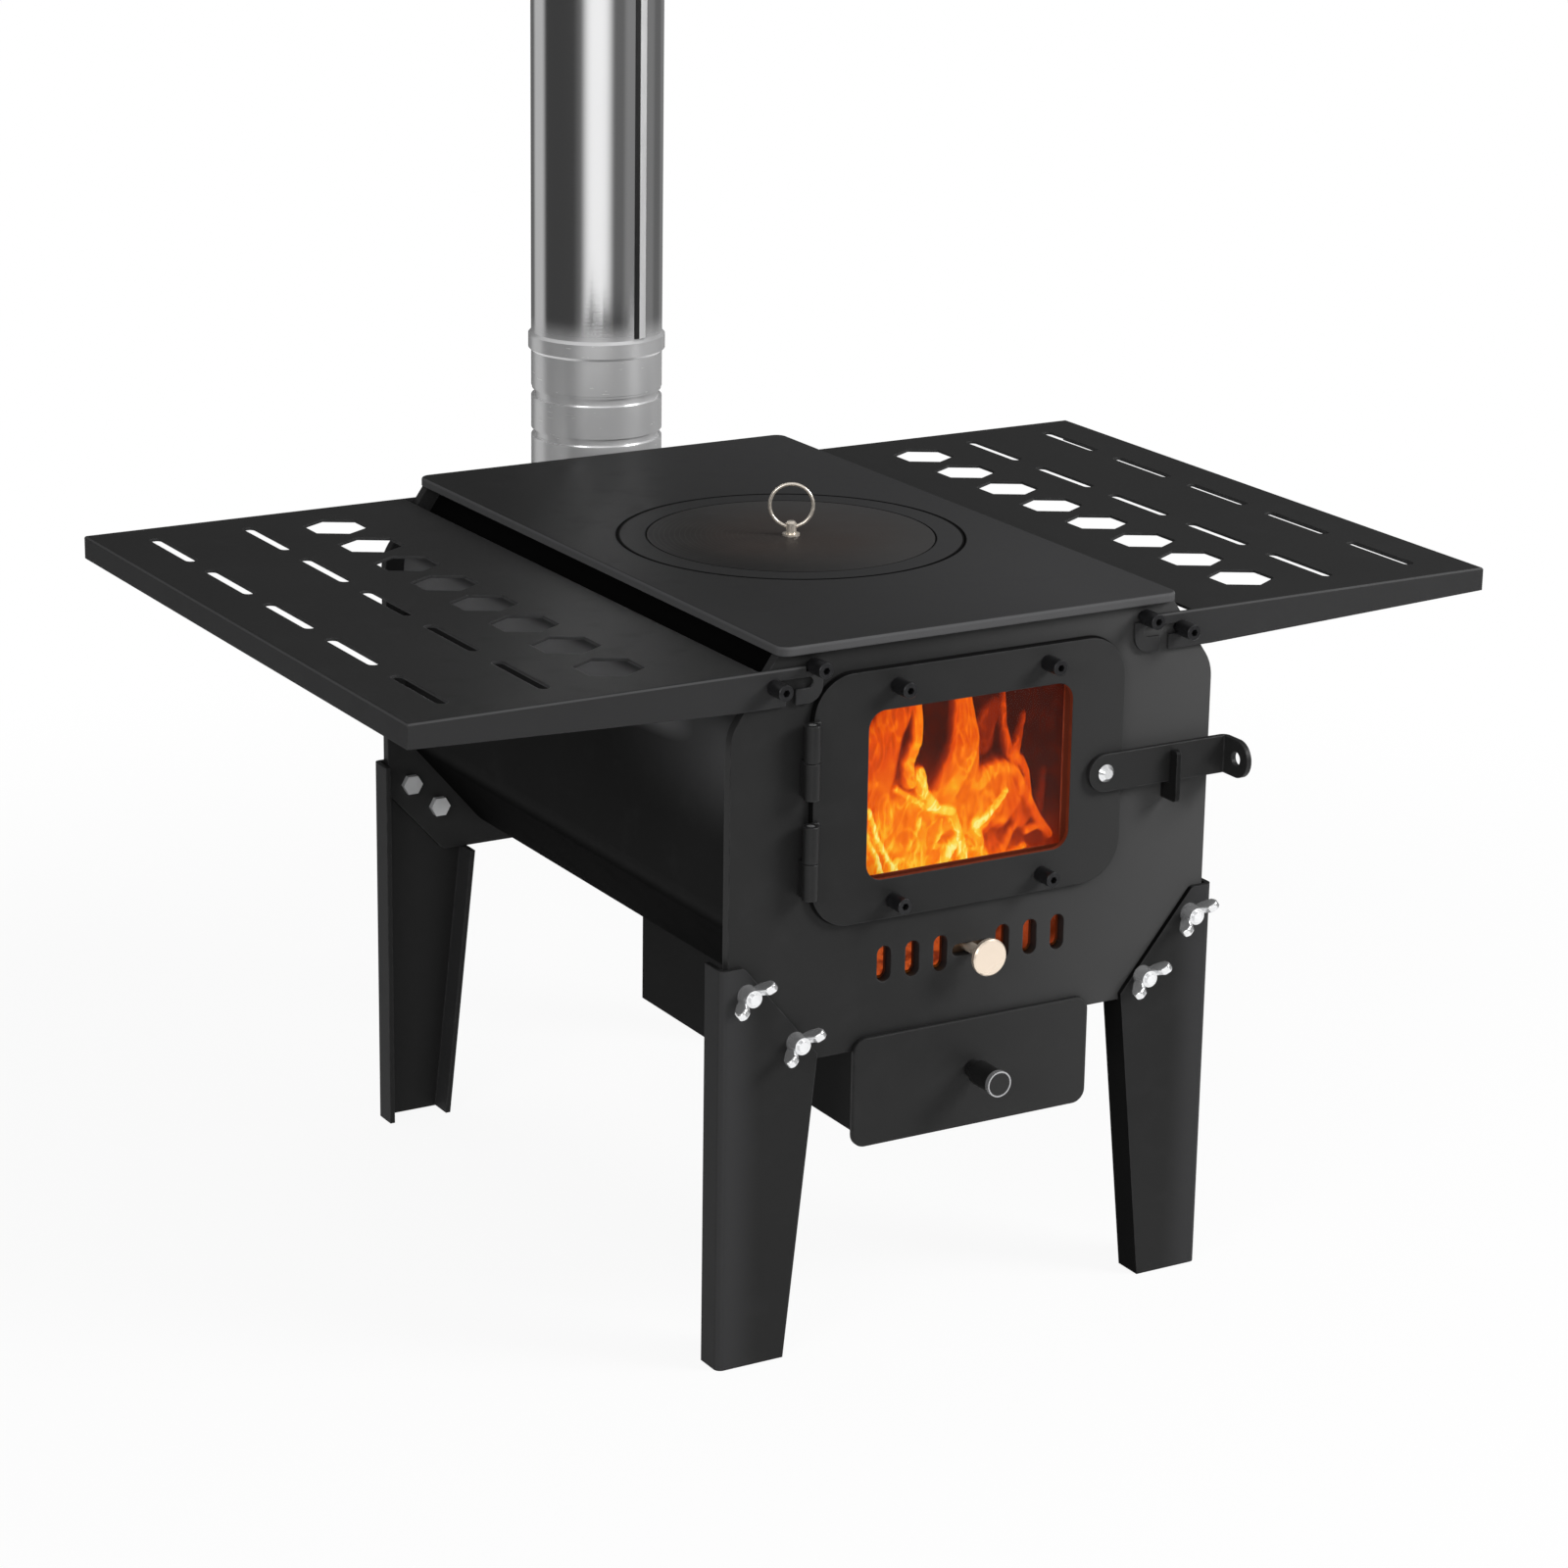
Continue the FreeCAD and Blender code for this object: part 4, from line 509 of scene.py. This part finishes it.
# Ash drawer: a folded sheet tray behind a coated front, pulled by a black turned knob that its
# screw holds from inside. The tray's floor is grey with fine ash.
# Painted light: the drawer front is painted paler toward its right, and its edges paler.
give(powder_coat("drawer_black", painted_light_right(0.034), edge_wear_and_highlight=1.0), "drawer_front")
give(powder_coat("tray_black", sooty(lambda place, facing: looks(facing, 2, 1.0))), "ash_tray")
give(powder_coat("knob_black", tone=0.6, rough=0.30, shine=0.35), "drawer_knob")

# Fire grate: a slotted slab of cast iron that lies loose in the firebox and lifts out. Its skin is
# sand-textured, sooty and burnt brown in patches.
material, shade, shader, place, facing = new_finish("cast_iron_grate")
rust = place.noise(38.0, 5.0).between(0.45, 0.7)
sand = place.noise(900.0, 4.0)
colour = rust.mix((0.022, 0.021, 0.020), (0.085, 0.052, 0.036))
normal = sand.bump(0.6, 0.0004)
set_finish(shade, shader, Base_Color=colour, Metallic=0.3, Roughness=0.72 + sand * 0.2, Normal=normal)
give(material, "fire_grate")

# Legs: sheet bent to a channel with a tapering web, coated black. Each is fixed to its end plate by
# bolts and wing nuts.


def bend(place, facing):
    """Painted highlight: the flanges and the rounded bends beside the web, painted a little paler."""
    rounded = (abs(facing.part(0)) * abs(facing.part(1))).between(0.1, 0.4)
    flange = abs(facing.part(0)).between(0.7, 0.95)
    return rounded.larger(flange * 0.5), (0.044, 0.044, 0.045)


def outer_edge_painted_light(place, facing):
    """Painted light: the web, painted paler toward its outer bend."""
    web_middle, web_edge = 0.132, 0.153
    outward = abs(place.part(0)).between(web_middle, web_edge)
    return outward * abs(facing.part(1)).between(0.5, 0.9), (0.036, 0.036, 0.037)


def inner_side_painted_shade(place, facing):
    """Painted shade: the flanges that face each other across the front, painted deepest black."""
    return (place.part(0) * facing.part(0)).between(-0.04, -0.09), grey(0.0015)


give(powder_coat("rear_leg_black", bend), "leg_rear_left", "leg_rear_right")
front_leg_coat = powder_coat("front_leg_black", outer_edge_painted_light, bend, inner_side_painted_shade, tone=1.1, shine=0.10)
give(front_leg_coat, "leg_front_left", "leg_front_right")

# Side shelves: sheet with punched hexagons and slots, folded down at its edges and coated black.
# They hang on the studs of the end plates.


def folded_edge(place, facing):
    """Painted light: flanges a little paler than the top, and a painted highlight palest along the fold."""
    fold = facing.part(2).between(0.97, 0.8) * facing.part(2).between(0.05, 0.35)
    flange = abs(facing.part(2)).between(0.2, 0.05)
    return fold.larger(flange * 0.5), fold.mix((0.036, 0.036, 0.037), (0.065, 0.065, 0.066))


give(powder_coat("shelf_black", folded_edge, tone=1.05, edge_wear_and_highlight=0.9), "shelf_left", "shelf_right")

# Flue collar, tee, cap and pipe: rolled stainless sheet, faintly brushed round the pipe, each pushed
# onto the next. The pipe is bright; the tee and the pipe's foot are a paler satin.
material, shade, shader, place, facing = new_finish("flue_stainless")
brushed = place.stretched(1.0, 1.0, 26.0).noise(90.0, 3.0)
colour = place.noise(7.0, 2.0).mix((0.78, 0.78, 0.785), (0.88, 0.88, 0.885))
foot_top, foot_full = 0.485, 0.468
dull = place.part(2).between(foot_top, foot_full)
metal = 1.0 - dull * 0.38
rough = 0.09 + brushed * 0.06 + dull * 0.14
normal = brushed.bump(0.05, 0.0002)
set_finish(shade, shader, Base_Color=colour, Metallic=metal, Roughness=rough, Normal=normal)
give(material, "flue_collar", "flue_tee", "tee_cap", "flue_pipe")

# Pipe seam: the sheet's two edges are folded over each other in a lock seam down the pipe's front and
# pressed flat. The fold's open edge is painted near black as a line of shade, and its shoulder beside
# it is burnished bright.


def new_mesh(name, vertices, faces, material):
    """A smooth mesh of its own, in the scene and with its material."""
    mesh = bpy.data.meshes.new(name)
    mesh.from_pydata(vertices, [], faces)
    mesh.polygons.foreach_set("use_smooth", [True] * len(mesh.polygons))
    mesh.materials.append(material)
    piece = bpy.data.objects.new(name, mesh)
    bpy.context.scene.collection.objects.link(piece)
    return piece


pipe_low, pipe_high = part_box("flue_pipe")
pipe_middle = (pipe_low + pipe_high) / 2
pipe_radius = 0.0405
pipe_rim = 0.001
seam_low, seam_high = 0.4725, pipe_high.z - pipe_rim
seam_facing = math.radians(12.7)
seam_half, seam_rise, seam_foot = 0.0043, 0.0009, -0.0003
shoulder, shoulder_steps = 0.0008, 6
section = [(-seam_half, seam_foot)]
for side, first, last in ((-1.0, 180.0, 90.0), (1.0, 90.0, 0.0)):
    for step in range(shoulder_steps + 1):
        turn = math.radians(first + (last - first) * step / shoulder_steps)
        across = side * (seam_half - shoulder) + shoulder * math.cos(turn)
        section.append((across, seam_rise - shoulder + shoulder * math.sin(turn)))
section.append((seam_half, seam_foot))
vertices = []
for height in (seam_low, seam_high):
    for across, rise in section:
        angle = seam_facing + across / pipe_radius
        out = pipe_radius + rise
        x, y = pipe_middle.x + out * math.sin(angle), pipe_middle.y - out * math.cos(angle)
        vertices.append((x, y, height))
count = len(section)
faces = [(index, index + 1, count + index + 1, count + index) for index in range(count - 1)]
faces.append((count - 1, 0, count, 2 * count - 1))
material, shade, shader, place, facing = new_finish("seam_steel")
sideways = place.measured_from(pipe_middle).dot((math.cos(seam_facing), math.sin(seam_facing), 0.0))
dark_edge, bright_edge = -0.0014, -0.0006
bright = sideways.between(dark_edge, bright_edge)
worn = place.stretched(1.0, 1.0, 0.2).noise(160.0, 3.0)
# Painted shade: the fold's open edge is painted near black.
colour = bright.mix(grey(0.006), worn.mix((0.70, 0.70, 0.705), (0.84, 0.84, 0.845)))
set_finish(shade, shader, Base_Color=colour, Metallic=bright * 0.45, Roughness=0.3 + worn * 0.1)
seam = new_mesh("pipe_seam", vertices, faces, material)
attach(seam, "pipe")

# Embers: a low bed of glowing coals at the front of the grate, seen through the air vents. It is a
# sheet raised into round lumps that overlap, with darker and brighter coals.
grate_low, grate_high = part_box("fire_grate")
bed_inset = 0.006
bed_half, bed_near, bed_depth = 0.050, grate_low.y + bed_inset, 0.070
bed_rise, bed_edge = 0.008, 0.0003
columns, rows = 56, 40
lump_count = 34
across_step, along_step, size_step = 0.618, 0.414, 0.732
spread_share, near_share, reach_share = 0.88, 0.08, 0.84
least_share, extra_share, crown_share = 0.75, 0.6, 0.9
lumps = []
for index in range(lump_count):
    across = bed_half * (2.0 * (index * across_step % 1.0) - 1.0) * spread_share
    along = bed_near + bed_depth * (near_share + reach_share * (index * along_step % 1.0))
    lumps.append((across, along, bed_rise * (least_share + extra_share * (index * size_step % 1.0))))


def sheet_faces(columns, rows):
    """The faces of a sheet whose points are listed row by row."""
    starts = [row * (columns + 1) + column for row in range(rows) for column in range(columns)]
    return [(start, start + 1, start + columns + 2, start + columns + 1) for start in starts]


vertices = []
for row in range(rows + 1):
    for column in range(columns + 1):
        across = bed_half * (2.0 * column / columns - 1.0)
        along = bed_near + bed_depth * row / rows
        rise = bed_edge
        for lump_across, lump_along, size in lumps:
            gap = math.hypot(across - lump_across, along - lump_along) / size
            crown = crown_share * size * math.sqrt(max(0.0, 1.0 - gap * gap))
            rise = max(rise, min(bed_rise, crown))
        if row in (0, rows) or column in (0, columns):
            rise = bed_edge
        vertices.append((across, along, grate_high.z + rise))
material, shade, shader, place, facing = new_finish("embers")
hot = place.noise(130.0, 4.0).between(0.36, 0.62)
coal = place.noise(420.0, 3.0)
glow = hot.mix((0.16, 0.018, 0.005), (0.50, 0.075, 0.012))
colour = coal.mix((0.010, 0.009, 0.009), (0.10, 0.09, 0.085))
set_finish(shade, shader, Base_Color=colour, Roughness=0.9, Emission_Color=glow, Emission_Strength=0.9)
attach(new_mesh("ember_bed", vertices, sheet_faces(columns, rows), material), "grate")

# Fire: the flames behind the window, one curtain of glowing gas drawn out into tongues. Each tongue
# is a stroke: its points, its half widths and its heat from root to tip, as shares of the window.
flame_shares = [
    (((-0.30, 0.05), (-0.22, 0.5), (-0.16, 0.95)), (0.16, 0.10), (0.60, 0.42)),
    (((0.06, 0.06), (0.04, 0.47), (0.08, 0.88), (0.13, 1.04)), (0.142, 0.10), (0.62, 0.50)),
    (((0.21, 0.55), (0.19, 0.68), (0.22, 0.83), (0.21, 1.05)), (0.037, 0.03), (0.68, 0.64)),
    (((0.10, 0.10), (0.22, 0.28), (0.34, 0.36)), (0.23, 0.15), (0.70, 0.72)),
    (((0.20, -0.02), (0.34, 0.06), (0.52, 0.03)), (0.13, 0.09), (0.78, 0.70)),
    (((0.35, 0.10), (0.42, 0.46), (0.47, 0.75), (0.46, 1.06)), (0.21, 0.065), (0.66, 0.54)),
    (((0.46, 0.70), (0.52, 0.77), (0.50, 1.02)), (0.067, 0.037), (0.60, 0.52)),
    (((0.38, 0.50), (0.46, 0.63), (0.50, 0.69)), (0.067, 0.030), (0.74, 0.64)),
    (((0.49, 0.36), (0.56, 0.46), (0.64, 0.50)), (0.17, 0.11), (0.68, 0.60)),
    (((0.53, 0.50), (0.60, 0.56), (0.69, 0.56), (0.76, 0.51), (0.82, 0.36), (0.88, 0.20), (0.95, 0.08)),
     (0.045, 0.030), (0.66, 0.50)),
    (((0.65, 0.35), (0.73, 0.40), (0.78, 0.27)), (0.13, 0.10), (0.60, 0.48)),
    (((0.76, 0.57), (0.79, 0.67), (0.82, 0.84)), (0.045, 0.013), (0.48, 0.38)),
    (((0.75, 0.60), (0.80, 0.56), (0.83, 0.48), (0.84, 0.33)), (0.037, 0.026), (0.54, 0.48)),
    (((0.74, 0.61), (0.71, 0.80), (0.71, 1.02)), (0.041, 0.012), (0.42, 0.44)),
    (((0.58, 0.75), (0.62, 0.84), (0.67, 0.90)), (0.097, 0.060), (0.34, 0.32)),
    (((0.51, 0.27), (0.60, 0.36), (0.68, 0.43)), (0.025, 0.012), (0.95, 0.84)),
    (((0.24, 0.63), (0.26, 0.50), (0.32, 0.39), (0.38, 0.37)), (0.030, 0.041), (0.80, 0.92)),
    (((0.39, 0.36), (0.43, 0.23), (0.45, 0.13), (0.47, 0.0)), (0.027, 0.025), (0.85, 0.95)),
    (((0.42, 0.18), (0.39, 0.08), (0.36, -0.02)), (0.030, 0.025), (0.90, 0.98)),
    (((0.50, 0.28), (0.53, 0.16), (0.54, 0.0)), (0.037, 0.030), (0.78, 0.70)),
    (((0.26, 0.33), (0.25, 0.23), (0.21, 0.12), (0.19, 0.0)), (0.012, 0.012), (0.82, 0.80)),
    (((0.35, 0.32), (0.35, 0.20), (0.31, 0.08)), (0.012, 0.010), (0.82, 0.74)),
    (((0.02, 0.41), (0.06, 0.24), (0.12, 0.09), (0.17, 0.0)), (0.018, 0.015), (0.85, 0.90)),
    (((0.0, 0.25), (0.05, 0.14), (0.08, 0.0)), (0.019, 0.016), (0.88, 0.92)),
    (((0.15, 0.52), (0.21, 0.46), (0.29, 0.39)), (0.019, 0.022), (0.76, 0.85)),
    (((0.62, 0.0), (0.70, 0.05), (0.78, 0.07)), (0.021, 0.012), (0.85, 0.70)),
    (((0.66, 0.09), (0.71, 0.18), (0.75, 0.21)), (0.030, 0.022), (0.56, 0.50)),
    (((0.80, 0.15), (0.88, 0.15), (0.95, 0.08)), (0.027, 0.010), (0.60, 0.48)),
    (((0.91, 0.25), (0.93, 0.36), (0.94, 0.48)), (0.037, 0.015), (0.26, 0.20)),
]
window_width, window_height = 2.0 * window_half.x, 2.0 * window_half.z
curtain_depth, curtain_swell, curtain_sway = 0.056, 0.012, 0.006
shift_right_share, shift_down_share = 0.59, 0.364
curtain_left = glass_middle.x - window_half.x + shift_right_share * curtain_depth
curtain_low = glass_middle.z - window_half.z - shift_down_share * curtain_depth
first_share, last_share, low_share, high_share = -0.36, 1.14, 0.0, 1.12


def soft_step(value, low, high):
    share = min(1.0, max(0.0, (value - low) / (high - low)))
    return share * share * (3.0 - 2.0 * share)


def stroke_heat(across, upward, stroke, cool):
    """The heat that one tongue gives at a point: gone at its half width, and a wide one has a bright rim."""
    points, widths, heats = stroke
    aspect = window_height / window_width
    slim, wide, core_share = 0.04, 0.10, 0.4
    rim_place, rim_spread, rim_gain, core_loss = 0.66, 0.16, 0.24, 0.10
    best = cool
    for index, (start, end) in enumerate(zip(points, points[1:])):
        run = (end[0] - start[0], (end[1] - start[1]) * aspect)
        reach = (across - start[0], (upward - start[1]) * aspect)
        length = run[0] * run[0] + run[1] * run[1]
        share = min(1.0, max(0.0, (reach[0] * run[0] + reach[1] * run[1]) / length))
        gap = math.hypot(reach[0] - run[0] * share, reach[1] - run[1] * share)
        along = (index + share) / (len(points) - 1)
        width = widths[0] + (widths[1] - widths[0]) * along
        heat = heats[0] + (heats[1] - heats[0]) * along
        rim = math.exp(-(((gap / width - rim_place) / rim_spread) ** 2)) * rim_gain - core_loss
        heat = heat * (1.0 + soft_step(width, slim, wide) * rim)
        best = max(best, cool + (heat - cool) * soft_step(gap / width, 1.0, core_share))
    return best


columns, rows = 150, 88
back_heat, root_heat = 0.13, 0.44
fade_share, foot_share = 0.05, 0.04
vertices, heats = [], []
for row in range(rows + 1):
    upward = low_share + (high_share - low_share) * row / rows
    for column in range(columns + 1):
        across = first_share + (last_share - first_share) * column / columns
        from_root = 0.60 * abs(across) + 0.85 * upward
        cool = back_heat + root_heat * soft_step(from_root, 0.85, 0.25)
        heat = max(stroke_heat(across, upward, stroke, cool) for stroke in flame_shares)
        side_rim = min(across - first_share, last_share - across)
        rim = min(side_rim, upward - low_share + foot_share, high_share - upward)
        heat = heat * soft_step(rim, 0.0, fade_share)
        sway = curtain_sway * math.sin(7.0 * across + 3.0 * upward)
        vertices.append((
            curtain_left + window_width * across,
            front_face + curtain_depth + sway - curtain_swell * heat,
            curtain_low + window_height * upward,
        ))
        heats.append(heat)
material, shade, shader, place, facing = new_finish("flame_glow")
heat = shade.node("Attribute", {"attribute_name": "flame_heat"}, {}, "Fac")
lick = place.stretched(1.0, 1.0, 0.45).noise(110.0, 4.0, 1.5)
silk = 1.0 - abs(place.stretched(1.0, 1.0, 0.4).noise(70.0, 2.0, 2.2) * 2.0 - 1.0)
flicker = (lick - 0.5) * 0.6 + silk.between(0.84, 1.0) * 0.16
stops = [
    (0.0, (0.004, 0.001, 0.001)),
    (0.13, (0.045, 0.009, 0.006)),
    (0.34, (0.26, 0.022, 0.006)),
    (0.50, (0.78, 0.075, 0.005)),
    (0.66, (1.0, 0.20, 0.006)),
    (0.80, (1.0, 0.42, 0.016)),
    (0.93, (1.0, 0.68, 0.07)),
    (1.0, (1.0, 0.86, 0.25)),
]
glow = shade.node("ValToRGB", {"stops": stops}, {"Fac": heat + heat * flicker})
black = (0.0, 0.0, 0.0, 1.0)
set_finish(shade, shader, Base_Color=black, Roughness=1.0, Specular_IOR_Level=0.0)
set_finish(shade, shader, Emission_Color=glow, Emission_Strength=1.0, Alpha=heat.between(0.02, 0.11))
flames = new_mesh("flames", vertices, sheet_faces(columns, rows), material)
flames.data.attributes.new("flame_heat", "FLOAT", "POINT").data.foreach_set("value", heats)
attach(flames, "stove")

# Floor: a wide round pale sheet, white to the eye, in metal and through glass, faintly shaded under
# the stove and fading into the white of the room at its rim.


def seen_by(shade, *kinds):
    """1 for the rays of these kinds, such as those that come straight from the camera."""
    rays = [shade.node("LightPath", {}, {}, f"Is {kind} Ray") for kind in kinds]
    seen = rays[0]
    for ray in rays[1:]:
        seen = seen.larger(ray)
    return seen


white = (1.0, 1.0, 1.0, 1.0)
floor_radius, rim_start, rim_full = 1.3, 0.55, 1.2
white_share = 0.92
bpy.ops.mesh.primitive_circle_add(vertices=128, radius=floor_radius, fill_type="NGON")
floor = bpy.context.object
floor.name = "floor"
material, shade, shader, place, facing = new_finish("pale_floor")
set_finish(shade, shader, Base_Color=(0.9, 0.9, 0.9, 1.0), Roughness=0.9)
plain_white = shade.node("Emission", {}, {"Color": white, "Strength": 1.0})
rim = place.stretched(1.0, 1.0, 0.0).length().between(rim_start, rim_full)
direct = seen_by(shade, "Camera", "Glossy", "Transmission") * (white_share + rim * (1.0 - white_share))
lit = Shade(shade.tree, shader.outputs[0])
mixed = shade.node("MixShader", {}, {0: direct, 1: lit, 2: plain_white})
shade.tree.links.new(mixed.socket, shade.tree.nodes["Material Output"].inputs["Surface"])
floor.data.materials.append(material)

# Light: a dim room with one bright panel in front, weaker ones round it and a soft one overhead, a
# large key at the upper right and a weak fill at the left. To the eye and through glass it is white.
world = bpy.data.worlds.new("studio")
bpy.context.scene.world = world
world.use_nodes = True
shade = Shade(world.node_tree)
toward = shade.node("TexCoord", {}, {}, "Generated")
level = shade.node("VectorMath", {"operation": "NORMALIZE"}, {0: toward.stretched(1.0, 1.0, 0.0)})


def panel(azimuth, half_width, soft):
    """A tall panel on the studio's wall; azimuth 0 is in front of the door."""
    turn = math.radians(azimuth)
    near, far = math.cos(math.radians(half_width - soft)), math.cos(math.radians(half_width + soft))
    return level.dot((math.sin(turn), -math.cos(turn), 0.0)).between(far, near)


wall_level, overhead_level = 0.13, 0.55
bright_panels = [
    (-27.0, 15.5, 15.5, 0.88),
    (-150.0, 16.0, 8.0, 0.36),
    (33.0, 10.0, 6.0, 0.10),
    (74.0, 14.0, 6.0, 0.07),
    (130.0, 12.0, 8.0, 0.08),
]
walls = wall_level * (1.0 - panel(-97.0, 33.0, 8.0) * 0.6)
for azimuth, half_width, soft, panel_level in bright_panels:
    walls = walls + panel(azimuth, half_width, soft) * panel_level
overhead = toward.part(2).between(0.62, 0.85)
room = walls * (1.0 - overhead) + overhead * overhead_level
direct = seen_by(shade, "Camera", "Transmission")
strength = room * (1.0 - direct) + direct
background = world.node_tree.nodes["Background"]
background.inputs["Color"].default_value = white
world.node_tree.links.new(strength.socket, background.inputs["Strength"])


def soft_lamp(name, place, aim, size, power):
    lamp = bpy.data.lights.new(name, "AREA")
    lamp.shape = "DISK"
    lamp.size = size
    lamp.energy = power
    rig = bpy.data.objects.new(name, lamp)
    rig.location = place
    rig.rotation_euler = (Vector(aim) - Vector(place)).to_track_quat("-Z", "Y").to_euler()
    bpy.context.scene.collection.objects.link(rig)


body_middle = (0.0, -0.1, 0.3)
soft_lamp("key_light", (1.5, -1.5, 1.5), body_middle, size=1.0, power=44.0)
soft_lamp("fill_light", (-2.6, -1.6, 1.5), body_middle, size=1.4, power=26.0)

# Camera: at the photograph's own angle, a long lens a little above the hob. Its angles, aim, distance
# and lens were fitted to points of the stove in the photograph.
azimuth, elevation, roll = math.radians(-30.62), math.radians(17.40), math.radians(0.91)
aim = Vector((-0.02099, front_face + 0.1680, 0.2668))
distance = 2.5094
flat_reach, rise = math.cos(elevation), math.sin(elevation)
back = Vector((math.sin(azimuth) * flat_reach, -math.cos(azimuth) * flat_reach, rise))
right = Vector((math.cos(azimuth), math.sin(azimuth), 0.0))
up = back.cross(right)
right, up = right * math.cos(roll) + up * math.sin(roll), up * math.cos(roll) - right * math.sin(roll)
lens = bpy.data.cameras.new("camera")
lens.lens = 100.85
lens.sensor_width = 36.0
camera = bpy.data.objects.new("camera", lens)
turned = Matrix((right, up, back)).transposed().to_4x4()
camera.matrix_world = Matrix.Translation(aim + back * distance) @ turned
bpy.context.scene.collection.objects.link(camera)
bpy.context.scene.camera = camera
bpy.context.scene.view_settings.view_transform = "Standard"
